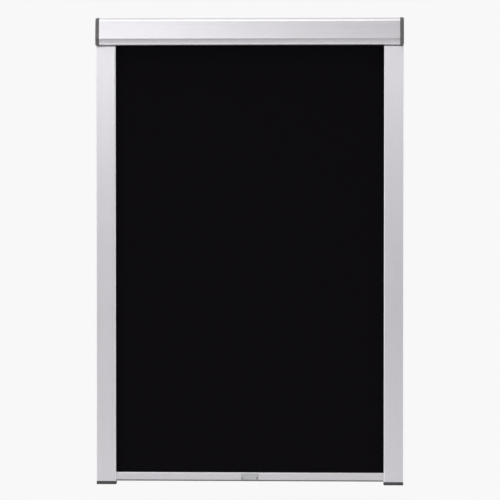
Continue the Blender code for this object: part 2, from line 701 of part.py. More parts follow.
def pile_strips(side, side_name, parent):
    """Brush strips behind and in front of the cloth."""
    backing = RAIL_WALL + SEAT_GAP
    tip = CLOTH_FORWARD - PILE_TIP_GAP
    half_back, half_pile = PILE_BACKING_WIDTH / 2, PILE_WIDTH / 2
    rear = [
        (GROOVE_MIDDLE - half_back, backing),
        (GROOVE_MIDDLE + half_back, backing),
        (GROOVE_MIDDLE + half_back, backing + PILE_BACKING),
        (GROOVE_MIDDLE + half_pile, backing + PILE_BACKING),
        (GROOVE_MIDDLE + half_pile, tip),
        (GROOVE_MIDDLE - half_pile, tip),
        (GROOVE_MIDDLE - half_pile, backing + PILE_BACKING),
        (GROOVE_MIDDLE - half_back, backing + PILE_BACKING),
    ]
    half = RAIL_HALF_LENGTH - PILE_END_INSET
    at = (side * RAIL_INNER, 0, RAIL_MIDDLE)
    for place, outline in (("rear", rear), ("front", across_cloth(rear))):
        name = "pile_" + place + "_" + side_name
        make(upright(outline, side, -half, half), name, "black_pile", parent, at)


def rail_foot(side, name, parent):
    """Cap under the rail, with a tongue up into the screw room. The slider stops on it."""
    outer, inner = rail_front(0)
    outline = [(RAIL_WIDTH, 0)] + outer + inner + [(0, 0)]
    shape = upright(outline, side, BLIND_BOTTOM, RAIL_BOTTOM - SEAT_GAP)
    foot = make(shape, name, "dark_plastic", parent, (side * RAIL_INNER, 0, 0))
    round_edges(foot, FOOT_ROUND)
    low = (SCREW_ROOM_START + SEAT_GAP, RAIL_WALL + SEAT_GAP)
    high = (SCREW_ROOM_END - SEAT_GAP, RAIL_WALL + SEAT_GAP + FOOT_TONGUE_DEPTH)
    tongue = upright(rectangle(low, high), side, BLIND_BOTTOM + FOOT_HEIGHT / 2, RAIL_BOTTOM + FOOT_TONGUE)
    combine(foot, tongue, "UNION")


# Cloth


def blackout_cloth(parent):
    """The cloth between the roller and the pull bar."""
    reach = ROLL_RADIUS + SEAT_GAP
    flat = ROLL_RADIUS - CLOTH_THICKNESS
    top = -math.sqrt(reach * reach - flat * flat)
    low = (CLOTH_FORWARD - CLOTH_THICKNESS / 2, BAR_REST_TOP + SEAT_GAP / 2)
    high = (CLOTH_FORWARD + CLOTH_THICKNESS / 2, top)
    shape = across(rectangle(low, high), -CLOTH_HALF_WIDTH, CLOTH_HALF_WIDTH)
    make(shape, "blackout_fabric", "black_cloth", parent)


def hem_pieces(bar):
    """The loop at the cloth's lower edge, and the rod that locks it in the bar's groove."""
    half = BAR_END - HEM_INSET
    rod = turned([(-half, HEM_ROD_RADIUS), (half, HEM_ROD_RADIUS)], SMALL_SIDES)
    make(rod, "hem_rod", "white_nylon", bar, (0, 0, HEM_UP))
    start = math.degrees(math.acos(CLOTH_THICKNESS / HEM_LOOP_RADIUS))
    stem = BAR_HEIGHT - SEAT_GAP / 2 - HEM_UP
    loop = [(CLOTH_THICKNESS, stem)] + arc((0, 0), HEM_LOOP_RADIUS, start, -180 - start, 16)
    loop.append((-CLOTH_THICKNESS, stem))
    hem = make(across(loop, -half, half), "fabric_hem", "black_cloth", bar, (0, 0, HEM_UP))
    reach = half + SEAT_GAP
    combine(hem, turned([(-reach, HEM_LOOP_BORE), (reach, HEM_LOOP_BORE)], SMALL_SIDES), "DIFFERENCE")


# Pull bar


def pull_bar(bar):
    """Hollow bar with a groove for the hem along its top and a slot for the seal along its bottom."""
    slot = SEAL_SLOT_WIDTH / 2
    head = SEAL_SLOT_HEAD / 2
    ledge = SEAL_SHOW + BAR_WALL
    roof = ledge + SEAL_SLOT_HEIGHT
    mouth = math.degrees(math.acos(HEM_MOUTH / 2 / HEM_GROOVE_RADIUS))
    front = arc((BAR_HALF - BAR_FRONT_RADIUS, BAR_HEIGHT - BAR_FRONT_RADIUS), BAR_FRONT_RADIUS, 0, 90)
    back = arc((BAR_BACK_RADIUS - BAR_HALF, BAR_HEIGHT - BAR_BACK_RADIUS), BAR_BACK_RADIUS, 90, 180, 3)
    groove = arc((0, HEM_UP), HEM_GROOVE_RADIUS, mouth, -180 - mouth, 16)
    outline = [(-slot, SEAL_SHOW), (-slot, ledge), (-head, ledge), (-head, roof)]
    outline += [(head, roof), (head, ledge), (slot, ledge), (slot, SEAL_SHOW), (BAR_HALF, SEAL_SHOW)]
    outline += front + [(HEM_MOUTH / 2, BAR_HEIGHT)] + groove + [(-HEM_MOUTH / 2, BAR_HEIGHT)] + back
    outline.append((-BAR_HALF, SEAL_SHOW))
    piece = make(across(outline, -BAR_END, BAR_END), "pull_bar", "satin_aluminium", bar)
    side = BAR_HALF - BAR_WALL
    hollow = rectangle((-side, HOLLOW_BOTTOM), (side, HOLLOW_BOTTOM + HOLLOW_HEIGHT))
    reach = BAR_END + SEAT_GAP
    combine(piece, across(hollow, -reach, reach), "DIFFERENCE")
    for x in (-PEG_SPACING / 2, PEG_SPACING / 2):
        hole = drilling(PEG_RADIUS + SEAT_GAP, x, peg_up(), 0, BAR_THICKNESS)
        combine(piece, hole, "DIFFERENCE")


def peg_up():
    return HOLLOW_BOTTOM + HOLLOW_HEIGHT / 2


def bar_seal(bar):
    """Strip that closes the gap under the bar, held by its head in the bar's lower slot."""
    neck = SEAL_SLOT_WIDTH / 2 - SEAT_GAP
    head = SEAL_SLOT_HEAD / 2 - SEAT_GAP
    body = BAR_SEAL_THICKNESS / 2
    shoulder = SEAL_SHOW - SEAT_GAP
    ledge = SEAL_SHOW + BAR_WALL + SEAT_GAP
    top = SEAL_SHOW + BAR_WALL + SEAL_SLOT_HEIGHT - SEAT_GAP
    right = [(body, 0), (body, shoulder), (neck, shoulder), (neck, ledge), (head, ledge), (head, top)]
    outline = right + [(-forward, up) for forward, up in reversed(right)]
    half = RAIL_INNER - SEAT_GAP
    make(across(outline, -half, half), "bar_seal", "seal_grey", bar)


def pull_grip(bar):
    """Finger grip with a lip, drafted sides and two pegs in the bar's front wall."""
    back = BAR_HALF + SEAT_GAP
    top = BAR_HEIGHT - GRIP_TOP_INSET
    bottom = top - GRIP_HEIGHT
    tip = BAR_HALF + GRIP_REACH
    profile = [
        (back, bottom),
        (back, top),
        (BAR_HALF + GRIP_TOP_THICKNESS, top),
        (tip, bottom + GRIP_LIP_HEIGHT),
        (tip, bottom),
        (tip - GRIP_LIP_THICKNESS, bottom),
        (BAR_HALF + GRIP_GROOVE_BACK, bottom + GRIP_GROOVE_DEPTH),
        (BAR_HALF + GRIP_TOP_THICKNESS, bottom),
    ]
    draft = math.tan(math.radians(GRIP_SIDE_SLOPE))
    rings = []
    for side in (-1, 1):
        ends = [side * (GRIP_WIDTH / 2 - (forward - back) * draft) for forward, up in profile]
        rings.append([(x, -forward, up) for x, (forward, up) in zip(ends, profile)])
    grip = make(stacked(rings), "pull_grip", "grip_grey", bar)
    round_edges(grip, GRIP_ROUND)
    inner = BAR_HALF - BAR_WALL - PEG_LENGTH
    for x in (-PEG_SPACING / 2, PEG_SPACING / 2):
        combine(grip, drilling(PEG_RADIUS, x, peg_up(), inner, back + GRIP_TOP_THICKNESS / 2), "UNION")


def bar_slider(side, name, bar):
    """Plug in the bar's end, with a thin web between the brushes and a block in the guide room."""
    cheek_start = BAR_IN_RAIL + SEAT_GAP
    cheek_end = cheek_start + CHEEK_THICKNESS
    cheek = BAR_HALF - CHEEK_INSET
    web = WEB_THICKNESS / 2
    block_start, block_end = GUIDE_START + SLIDE_GAP, GUIDE_END - SLIDE_GAP
    block = block_half_depth()
    near = [(cheek_start, cheek), (cheek_end, cheek), (cheek_end, web)]
    near += [(block_start, web), (block_start, block), (block_end, block)]
    outline = near + [(outward, -forward) for outward, forward in reversed(near)]
    shape = upright(outline, side, 0, BAR_HEIGHT - SLIDER_TOP_INSET)
    slider = make(shape, name, "dark_plastic", bar, (side * RAIL_INNER, 0, 0))
    half = BAR_HALF - BAR_WALL - SEAT_GAP
    low = (-half, HOLLOW_BOTTOM + SEAT_GAP)
    high = (half, HOLLOW_BOTTOM + HOLLOW_HEIGHT - SEAT_GAP)
    start, end = BAR_IN_RAIL - SPIGOT_LENGTH, (cheek_start + cheek_end) / 2
    combine(slider, across(rectangle(low, high), side * start, side * end), "UNION")
    middle = guide_middle()
    low = (middle - POCKET_WIDTH / 2, -block - SEAT_GAP)
    high = (middle + POCKET_WIDTH / 2, POCKET_DEPTH - block)
    up = BAR_HEIGHT / 2
    pocket = upright(rectangle(low, high), side, up - POCKET_HEIGHT / 2, up + POCKET_HEIGHT / 2)
    combine(slider, pocket, "DIFFERENCE")


def block_half_depth():
    return CLOTH_FORWARD - RAIL_WALL - SLIDE_GAP


def guide_middle():
    return (GUIDE_START + GUIDE_END) / 2


def slider_brake(side, side_name, bar):
    """A felt-faced pad that a bowed leaf spring presses on the channel's back wall."""
    wall = RAIL_WALL - CLOTH_FORWARD
    middle = guide_middle()
    half = POCKET_WIDTH / 2 - SEAT_GAP
    up = BAR_HEIGHT / 2
    reach = POCKET_HEIGHT / 2 - SEAT_GAP
    pad_back = wall + SEAT_GAP
    pad_front = pad_back + PAD_THICKNESS
    at = (side * RAIL_INNER, 0, 0)
    outline = rectangle((middle - half, pad_back), (middle + half, pad_front))
    make(upright(outline, side, up - reach, up + reach), "friction_pad_" + side_name, "felt", bar, at)
    floor = POCKET_DEPTH - block_half_depth() - SEAT_GAP - LEAF_THICKNESS
    crown = pad_front + SEAT_GAP
    places = spread(-1, 1, 8)
    bowed = [(crown + (floor - crown) * place * place, up + reach * place) for place in places]
    leaf = bowed + [(forward + LEAF_THICKNESS, height) for forward, height in reversed(bowed)]
    start, end = side * (middle - LEAF_WIDTH / 2), side * (middle + LEAF_WIDTH / 2)
    make(across(leaf, start, end), "friction_spring_" + side_name, "bright_steel", bar, at)


def build():
    for old in list(bpy.data.objects):
        bpy.data.objects.remove(old)
    frame = empty("frame", (0, 0, 0))
    roller = empty("roller_axis", (0, -ROLLER_FORWARD, 0))
    bar = empty("bar_carrier", (0, -CLOTH_FORWARD, RAIL_BOTTOM))
    headbox_base(frame)
    headbox_cover(frame)
    headbox_seal(frame)
    roller_pieces(roller, frame)
    blackout_cloth(frame)
    pull_bar(bar)
    bar_seal(bar)
    pull_grip(bar)
    hem_pieces(bar)
    for side, side_name in ((-1, "left"), (1, "right")):
        end_cap(side, "end_cap_" + side_name, frame)
        end_cap_screw(side, PORT_UPPER, "end_cap_screw_upper_" + side_name, frame)
        end_cap_screw(side, PORT_LOWER, "end_cap_screw_lower_" + side_name, frame)
        rail_channel(side, "rail_channel_" + side_name, frame)
        rail_cover(side, "rail_cover_" + side_name, frame)
        rail_foot(side, "rail_foot_" + side_name, frame)
        pile_strips(side, side_name, frame)
        bar_slider(side, "bar_slider_" + side_name, bar)
        slider_brake(side, side_name, bar)
    print("bar travel, mm:", round(BAR_TRAVEL / MM, 2))
    print("roller axis forward, mm:", round(ROLLER_FORWARD / MM, 3))


build()
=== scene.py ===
"""Looks of a blackout roller blind for a roof window: its finishes, cloth, brushes and studio.

Sizes are in millimetres. Forward is the distance in front of the window frame, and outward is the
distance from a side rail's inner edge towards the outside of the blind.
"""

import math
import random

import bmesh
import bpy
from mathutils import Matrix, Vector, noise


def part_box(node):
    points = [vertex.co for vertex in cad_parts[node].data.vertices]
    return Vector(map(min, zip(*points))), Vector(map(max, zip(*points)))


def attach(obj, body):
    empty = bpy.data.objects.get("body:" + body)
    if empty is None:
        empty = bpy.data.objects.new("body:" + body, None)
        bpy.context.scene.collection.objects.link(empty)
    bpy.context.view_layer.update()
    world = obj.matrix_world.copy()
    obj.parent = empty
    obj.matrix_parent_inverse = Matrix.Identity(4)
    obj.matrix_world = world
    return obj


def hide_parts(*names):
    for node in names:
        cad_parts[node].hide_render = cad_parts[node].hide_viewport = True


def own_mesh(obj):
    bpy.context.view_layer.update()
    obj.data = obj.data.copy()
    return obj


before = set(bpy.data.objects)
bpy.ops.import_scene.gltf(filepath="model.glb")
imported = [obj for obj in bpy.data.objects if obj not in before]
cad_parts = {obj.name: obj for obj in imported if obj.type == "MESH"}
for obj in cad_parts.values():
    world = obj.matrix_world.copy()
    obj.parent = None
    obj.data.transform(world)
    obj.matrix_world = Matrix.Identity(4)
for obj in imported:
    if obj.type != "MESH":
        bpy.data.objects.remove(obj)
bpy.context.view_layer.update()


# Headbox base
# The back rail of the headbox is an aluminium extrusion, satin anodised, with a hook along its top
# and two open ports for the end caps' screws. Four screws hold it to the window frame.

MM = 0.001
EDGE = 0.2
LEAST_RADIUS = 0.04
SHARP_ANGLE = 32


def box_of(node):
    """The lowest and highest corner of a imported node, in millimetres."""
    low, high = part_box(node)
    return low / MM, high / MM


def rounded(corners, inset=0.0):
    """The closed outline of (a, b, radius) corners, moved inwards by inset.

    A corner without a radius of its own gets the usual edge. One with a radius of 0 stays one
    point, so that each inset gives as many points.
    """
    corners = [(*corner, EDGE)[:3] for corner in corners]
    if sum(a * d - b * c for (a, b, _), (c, d, _) in zip(corners, corners[1:] + corners[:1])) < 0:
        corners = corners[::-1]
    outline = []
    for index, (a, b, radius) in enumerate(corners):
        corner = Vector((a, b))
        along = (corner - Vector(corners[index - 1][:2])).normalized()
        ahead = (Vector(corners[(index + 1) % len(corners)][:2]) - corner).normalized()
        inward, next_inward = Vector((-along.y, along.x)), Vector((-ahead.y, ahead.x))
        corner += inset * (inward + next_inward) / (1 + inward.dot(next_inward))
        if not radius:
            outline.append(corner)
            continue
        turn = math.atan2(along.x * ahead.y - along.y * ahead.x, along.dot(ahead))
        hollow = math.copysign(1, turn)
        bend = max(radius - inset * hollow, LEAST_RADIUS)
        start = corner - along * bend * math.tan(abs(turn) / 2)
        centre = start + inward * bend * hollow
        steps = 3 if radius < 0.5 else 5 if radius < 1.5 else 12
        for step in range(steps + 1):
            outline.append(centre + Matrix.Rotation(turn * step / steps, 2) @ (start - centre))
    return outline


def arc(centre, radius, start, end, steps):
    """Plain corners round a centre from one angle to another, in degrees."""
    turns = [math.radians(start + (end - start) * step / steps) for step in range(steps + 1)]
    return [(centre[0] + radius * math.cos(turn), centre[1] + radius * math.sin(turn), 0) for turn in turns]


def across(forward, up, x):
    """A point of a section that runs across the blind."""
    return Vector((x, -forward, up)) * MM


def sections(corners, place, cuts):
    """The rings of an outline at each (along, inset) of the cuts."""
    return [[place(a, b, along) for a, b in rounded(corners, inset)] for along, inset in cuts]


def run(corners, place, start, end, broken=0.15):
    """The rings of an extrusion from start to end, with the edges of its cut ends broken."""
    cuts = [(start, broken), (start + broken, 0), (end - broken, 0), (end, broken)]
    return sections(corners, place, cuts)


def turned(profile, centre=(0, 0, 0), axis=0, sides=64):
    """The rings of (along, radius) points turned about an axis through centre."""
    first, second = (axis + 1) % 3, (axis + 2) % 3
    rings = []
    for along, radius in profile:
        ring = []
        for side in range(sides):
            point = Vector(centre)
            point[axis] += along
            point[first] += radius * math.cos(2 * math.pi * side / sides)
            point[second] += radius * math.sin(2 * math.pi * side / sides)
            ring.append(point * MM)
        rings.append(ring)
    return rings


def linked(name, shape):
    """A piece with this name from a finished shape."""
    mesh = bpy.data.meshes.new(name)
    shape.to_mesh(mesh)
    shape.free()
    piece = bpy.data.objects.new(name, mesh)
    bpy.context.scene.collection.objects.link(piece)
    return piece


def bridge(shape, loops):
    """Faces from each loop of corners to the next."""
    for near, far in zip(loops, loops[1:]):
        for index, corner in enumerate(near):
            after = (index + 1) % len(near)
            shape.faces.new((corner, near[after], far[after], far[index]))


def skinned(name, rings, hollow=False):
    """A solid from rings with the same number of points. A hollow one goes back to its first ring."""
    shape = bmesh.new()
    loops = [[shape.verts.new(point) for point in ring] for ring in rings]
    if hollow:
        loops.append(loops[0])
    else:
        shape.faces.new(loops[0])
        shape.faces.new(loops[-1])
    bridge(shape, loops)
    bmesh.ops.recalc_face_normals(shape, faces=shape.faces)
    return linked(name, shape)


def cut(piece, rings, operation="DIFFERENCE"):
    """Cuts a solid from a piece or joins it on, for good."""
    tool = skinned("tool", rings)
    change = piece.modifiers.new("change", "BOOLEAN")
    change.operation = operation
    change.object = tool
    bpy.context.view_layer.update()
    seen = piece.evaluated_get(bpy.context.evaluated_depsgraph_get())
    mesh = bpy.data.meshes.new_from_object(seen)
    piece.modifiers.clear()
    piece.data = mesh
    bpy.data.objects.remove(tool)


def fit(piece, looks, body, node):
    """Gives a piece its finish, smooth round faces, its body and the node it is for; the slot that comes with
    the finish is not used.
    """
    finish, slot = looks
    piece.data.materials.clear()
    piece.data.materials.append(finish)
    piece.data.shade_smooth()
    piece.data.set_sharp_from_angle(angle=math.radians(SHARP_ANGLE))
    piece.modifiers.new("even", "WEIGHTED_NORMAL").keep_sharp = True
    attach(piece, body)
    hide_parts(node)


def add(material, kind, sockets=(), **settings):
    """Adds a shader node. A socket takes a value, or the output that is linked to it."""
    tree = material.node_tree
    made = tree.nodes.new("ShaderNode" + kind)
    for setting, value in settings.items():
        setattr(made, setting, value)
    for socket, value in dict(sockets).items():
        if isinstance(value, bpy.types.NodeSocket):
            tree.links.new(value, made.inputs[socket])
        else:
            made.inputs[socket].default_value = value
    return made


def new_finish(name, **even):
    """A material and its shader. What is even over the surface is set on the shader's own sockets."""
    material = bpy.data.materials.new(name)
    material.use_nodes = True
    shader = material.node_tree.nodes["Principled BSDF"]
    for socket, value in even.items():
        shader.inputs[socket.replace("_", " ")].default_value = value
    return material, shader


def speckle(material, per_metre, detail=2.0, seed=0.0):
    """Noise fixed to the piece, with its number of features per metre along X, Y and Z."""
    place = add(material, "TexCoord").outputs["Object"]
    spread = add(material, "Mapping", {"Vector": place, "Location": (seed,) * 3, "Scale": per_metre})
    mottle = add(material, "TexNoise", {"Vector": spread.outputs[0], "Scale": 1.0, "Detail": detail})
    return mottle.outputs["Fac"]


def mixed(material, first, second, share=0.5):
    """Two values together, with this share of the second."""
    return add(material, "Mix", {0: share, 2: first, 3: second}).outputs[0]


def shades(material, factor, dark, light, start=0.3, end=0.7):
    """Goes from one colour to another as a factor rises from start to end."""
    ramp = add(material, "ValToRGB", {"Fac": factor})
    low, high = ramp.color_ramp.elements
    low.position, low.color = start, (*dark, 1)
    high.position, high.color = end, (*light, 1)
    return ramp.outputs["Color"]


def between(material, factor, low, high, start=0.3, end=0.7):
    """Goes from one value to another as a factor rises from start to end."""
    sockets = {"Value": factor, "From Min": start, "From Max": end, "To Min": low, "To Max": high}
    return add(material, "MapRange", sockets).outputs["Result"]


def dress(material, shader, mottle, tones, rough, strength=0, depth=0, wear=None, height=None):
    """Takes shade, roughness and a relief of depth metres from a mottle, or from wear and height."""
    links = {"Base Color": shades(material, mottle, *tones)}
    links["Roughness"] = between(material, wear or mottle, *rough)
    if strength:
        sockets = {"Height": height or mottle, "Strength": strength, "Distance": depth}
        links["Normal"] = add(material, "Bump", sockets).outputs[0]
    for socket, output in links.items():
        material.node_tree.links.new(output, shader.inputs[socket])
    return material


def satin_aluminium(name, lengthwise, tone=1.0):
    """Satin anodised aluminium with the die's fine lines along one axis and faint rubbed clouds."""
    material, shader = new_finish(name, Metallic=0.9)
    fine, broad = [2600.0] * 3, [420.0] * 3
    fine[lengthwise], broad[lengthwise] = 26.0, 3.0
    grain = mixed(material, speckle(material, fine, 3.0), speckle(material, broad, 2.0, 4.0), 0.45)
    clouds = speckle(material, (15.0,) * 3, 3.0, 9.0)
    wear = mixed(material, grain, mixed(material, clouds, speckle(material, (90.0,) * 3, 5.0, 2.0)))
    # A tone below 1 darkens both colours; the bar's copy uses this as painted shade.
    tones = [[tone * part for part in rgb] for rgb in ((0.745, 0.727, 0.762), (0.803, 0.784, 0.820))]
    return dress(material, shader, grain, tones, (0.31, 0.39), 0.09, 0.00003, wear)


ALUMINIUM_ACROSS = satin_aluminium("satin_aluminium_across", 0), "satin_aluminium"

HEADBOX_WALL = 1.3
HOOK_DROP = 3.2
SLOT_BACK = 4.6
PORT_FORWARD = 4.0
PORT_BORE = 1.5
PORT_OUTER = 2.4
PORT_OPENING = 35
PORTS_UP = (19.5, -12.0)
BASE_HOLES_X = (-195, -65, 65, 195)
BASE_HOLE_UP = 5.0
FIXING_HOLE = 2.1
BASE_LINE = 0.35

base_low, base_high = box_of("headbox_base")
hook_front = -base_low.y
hook_foot = base_high.z - HOOK_DROP
lip_top = base_low.z + HEADBOX_WALL
base_corners = [
    (0, base_high.z), (0, BASE_HOLE_UP + BASE_LINE, 0), (BASE_LINE, BASE_HOLE_UP, 0),
    (0, BASE_HOLE_UP - BASE_LINE, 0), (0, base_low.z), (SLOT_BACK, base_low.z),
    (SLOT_BACK, lip_top), (HEADBOX_WALL, lip_top),
]
for up in reversed(PORTS_UP):
    port = (PORT_FORWARD, up)
    base_corners.append((HEADBOX_WALL, up - PORT_OUTER, 0))
    base_corners += arc(port, PORT_OUTER, -90, -PORT_OPENING, 6)
    base_corners += arc(port, PORT_BORE, 360 - PORT_OPENING, PORT_OPENING, 24)
    base_corners += arc(port, PORT_OUTER, PORT_OPENING, 90, 6)
    base_corners.append((HEADBOX_WALL, up + PORT_OUTER, 0))
base_corners += [
    (HEADBOX_WALL, base_high.z - HEADBOX_WALL),
    (hook_front - HEADBOX_WALL, base_high.z - HEADBOX_WALL),
    (hook_front - HEADBOX_WALL, hook_foot), (hook_front, hook_foot), (hook_front, base_high.z),
]
headbox_base = skinned("headbox_back_rail", run(base_corners, across, base_low.x, base_high.x))
for hole_x in BASE_HOLES_X:
    cut(headbox_base, turned([(-8, FIXING_HOLE), (4, FIXING_HOLE)], (hole_x, 0, BASE_HOLE_UP), 1))
fit(headbox_base, ALUMINIUM_ACROSS, "frame", "headbox_base")


# Headbox cover
# The front shell is a satin aluminium extrusion. Its leaning face turns over a wide corner into the
# top, steps back to a hollowed band above the cloth's slot, and hooks over the base's top edge.

FACE_LEAN = 8.0
FACE_DROP = 42.3
STEP_SETBACK = 1.0
STEP_EDGE = 0.6
BAND_TOP_LEAN = 17.0
BAND_FOOT_LEAN = -4.8
BAND_STEPS = 5
TOP_CORNER = 10.5
BEAD = 1.5
FOOT_RISE = 0.7
SLOT_FRONT = 11.5
HOOK_GAP = 0.3
HOOK_BARB = 1.0

cover_low, cover_high = box_of("headbox_cover")
depth, half_height = -cover_low.y, cover_high.z
step_up = half_height - FACE_DROP
slope = math.tan(math.radians(FACE_LEAN))
lean, foot_lean = math.radians(BAND_TOP_LEAN), math.radians(BAND_FOOT_LEAN)
bend = (step_up + half_height) / (math.sin(lean) - math.sin(foot_lean))
bend_centre = (depth - STEP_SETBACK + bend * math.cos(lean), step_up - bend * math.sin(lean))
band = arc(bend_centre, bend, 180 - BAND_FOOT_LEAN, 180 - BAND_TOP_LEAN, BAND_STEPS)
band_foot = band[0][0]
face_corners = [
    *band[1:],
    (depth, step_up, STEP_EDGE), (depth - FACE_DROP * slope, half_height, TOP_CORNER),
]
ceiling = half_height - HEADBOX_WALL
ledge = step_up + HEADBOX_WALL
lining = depth - HEADBOX_WALL / math.cos(math.radians(FACE_LEAN))
shell_foot = FOOT_RISE - half_height
hook = hook_front + HOOK_GAP
hook_tip = ceiling - HOOK_DROP - 2 * HOOK_GAP - HOOK_BARB
cover_corners = [
    (SLOT_FRONT, shell_foot), (band_foot, shell_foot, BEAD),
    *face_corners,
    (0, half_height), (0, ceiling), (hook, ceiling), (hook, hook_tip + HOOK_BARB),
    (hook - HOOK_BARB, hook_tip + HOOK_BARB), (hook - HOOK_BARB, hook_tip),
    (hook + HEADBOX_WALL, hook_tip), (hook + HEADBOX_WALL, ceiling),
    (lining - (ceiling - step_up) * slope, ceiling, TOP_CORNER - HEADBOX_WALL),
    (lining - (ledge - step_up) * slope, ledge), (band_foot - HEADBOX_WALL, ledge),
    (band_foot - HEADBOX_WALL, shell_foot + HEADBOX_WALL),
    (SLOT_FRONT, shell_foot + HEADBOX_WALL),
]
headbox_cover = skinned("headbox_front_shell", run(cover_corners, across, cover_low.x, cover_high.x))
fit(headbox_cover, ALUMINIUM_ACROSS, "frame", "headbox_cover")


# Headbox seal
# A dense black brush on the base's lower lip closes the slot behind the cloth. Its fibres are woven
# into a stiff backing and stop just short of the cloth.

SEAL_BACKING = 1.4
TUFT_SPACING = 0.9
TUFT_WIDE = 0.5
TUFT_NARROW = 0.28
TUFT_SWAY = 0.2
TUFT_SHORTEST = 0.9
BACKING_EDGE = 0.15


def black_fibre(name):
    """Matt black polypropylene fibre, a little uneven in shade."""
    material, shader = new_finish(name, Specular_IOR_Level=0.12, Sheen_Weight=0.1, Sheen_Roughness=0.4)
    fibres = speckle(material, (2600.0, 2600.0, 900.0), 3.0)
    tones = (0.005, 0.005, 0.006), (0.018, 0.017, 0.018)
    return dress(material, shader, fibres, tones, (0.75, 0.95), 0.5, 0.0001)


def tuft(shape, foot, tip):
    """One tapered tuft of fibres, closed at both ends."""
    away = (tip - foot).normalized()
    first = away.orthogonal().normalized()
    second = away.cross(first)
    loops = []
    for centre, radius in ((foot, TUFT_WIDE * MM), (tip, TUFT_NARROW * MM)):
        corners = (first, second, -first, -second)
        loops.append([shape.verts.new(centre + corner * radius) for corner in corners])
    shape.faces.new(loops[0][::-1])
    shape.faces.new(loops[1])
    bridge(shape, loops)


def brush(name, node, forwards, backing, lengthwise, spacing, rows, seed):
    """A backing in the node's box, and rows of uneven tufts that reach forwards from it or back."""
    draw = random.Random(seed)
    low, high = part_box(node)
    middle, length = (low + high) / 2, high[lengthwise] - low[lengthwise]
    backing_low, backing_high = low.copy(), high.copy()
    if forwards:
        foot_y, tip_y = high.y - backing * MM, low.y
        backing_low.y = foot_y
    else:
        foot_y, tip_y = low.y + backing * MM, high.y
        backing_high.y = foot_y
    reach = Vector((0, tip_y - foot_y, 0))
    shape = bmesh.new()
    for corner in bmesh.ops.create_cube(shape, size=1)["verts"]:
        corner.co = [backing_low[i] if corner.co[i] < 0 else backing_high[i] for i in range(3)]
    bmesh.ops.bevel(shape, geom=shape.edges[:], offset=BACKING_EDGE * MM, segments=2, affect="EDGES")
    count = round(length / (spacing * MM))
    for place in range(count):
        for offset in rows:
            foot = Vector((middle.x + offset * MM, foot_y, middle.z))
            foot[lengthwise] = low[lengthwise] + (place + 0.5) * length / count
            sway = Vector([0 if reach[i] else draw.uniform(-TUFT_SWAY, TUFT_SWAY) * MM for i in range(3)])
            tuft(shape, foot, foot + reach * draw.uniform(TUFT_SHORTEST, 1.0) + sway)
    piece = linked(name, shape)
    piece.data.materials.append(BLACK_FIBRE)
    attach(piece, "frame")
    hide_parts(node)


BLACK_FIBRE = black_fibre("black_fibre")
brush("headbox_brush", "headbox_seal", True, SEAL_BACKING, 0, TUFT_SPACING, (0,), 1)


# End caps
# Two moulded caps close the headbox, dark grey plastic with a fine spark texture. Each has a bearing
# block inside and a tongue down into its rail, and is held by two screws through sunk holes.

SIDES = ((-1, "left"), (1, "right"))
CAP_PROUD = 0.4
CAP_THICKNESS = 7.2
CAP_ROUND = 2.5
CAP_STEPS = 8
BLOCK_THICKNESS = 5.0
BLOCK_HALF_DEPTH = 9.5
BLOCK_HALF_HEIGHT = 16.0
TONGUE_LOW = (28.3, 5.05)
TONGUE_HIGH = (36.5, 11.05)
TONGUE_UP = (-60.2, -14.7)
TONGUE_TAPER = 0.8
TONGUE_EDGE = 0.5
SCREW_HOLE = 1.5
SCREW_SEAT = 2.6
SCREW_SEAT_DEPTH = 2.5
BUSH_SOCKET = 4.8
ROD_SOCKET = 3.2
SOCKET_DEPTH = 4.0


def moulded_plastic(name, fine, patches, tones, rough, strength, depth, **even):
    """Moulded plastic with a fine spark texture and lighter rubbed patches."""
    material, shader = new_finish(name, **even)
    sparks = speckle(material, (fine,) * 3, 3.0)
    mottle = mixed(material, sparks, speckle(material, *patches))
    return dress(material, shader, mottle, tones, rough, strength, depth, height=sparks)


def dark_plastic(name, *tones):
    """The dark grey plastic of the end caps, the feet and the sliders."""
    patches, rough = ((45.0,) * 3, 3.0, 3.0), (0.5, 0.66)
    made = moulded_plastic(name, 2200.0, patches, tones, rough, 0.35, 0.00006, Specular_IOR_Level=0.42)
    return made, "dark_plastic"


def box_corners(low, high, radius):
    """The corners of a rectangle from low to high."""
    (a, c), (b, d) = low, high
    return [(a, c, radius), (b, c, radius), (b, d, radius), (a, d, radius)]


def round_over(radius, steps):
    """The (depth, inset) pairs down the rounded edge of an end, from the side to the face."""
    turns = [math.pi / 2 * step / steps for step in range(steps + 1)]
    return [(radius * (1 - math.sin(turn)), radius * (1 - math.cos(turn))) for turn in turns]


def beside(side):
    """How a section of the left (-1) or right (1) rail is placed."""
    return lambda outward, forward, up: Vector((side * (rail_inner + outward), -forward, up)) * MM


# The caps are the same plastic as the feet, but their copy is about twice as light: painted light on the
# caps.
CAP_PLASTIC_PAINTED_LIGHT = dark_plastic("cap_plastic_painted_light", (0.111, 0.106, 0.108), (0.168, 0.161, 0.164))
roller_low, roller_high = box_of("roller_tube")
roller_axis = Vector((0, (roller_low.y + roller_high.y) / 2, 0))
half_width = box_of("end_cap_right")[1].x
rail_inner = box_of("rail_cover_right")[0].x
cap_foot = half_width - CAP_THICKNESS
block_face = cap_foot - BLOCK_THICKNESS
seat = half_width - SCREW_SEAT_DEPTH
hole = [(cap_foot - 1, SCREW_HOLE), (seat, SCREW_HOLE), (seat, SCREW_SEAT), (half_width + 1, SCREW_SEAT)]
block_low = (-roller_axis.y - BLOCK_HALF_DEPTH, -BLOCK_HALF_HEIGHT)
block_high = (-roller_axis.y + BLOCK_HALF_DEPTH, BLOCK_HALF_HEIGHT)
tongue = box_corners(TONGUE_LOW, TONGUE_HIGH, TONGUE_EDGE)
tongue_cuts = [(TONGUE_UP[0], TONGUE_TAPER), (TONGUE_UP[0] + 2, 0), (TONGUE_UP[1], 0)]


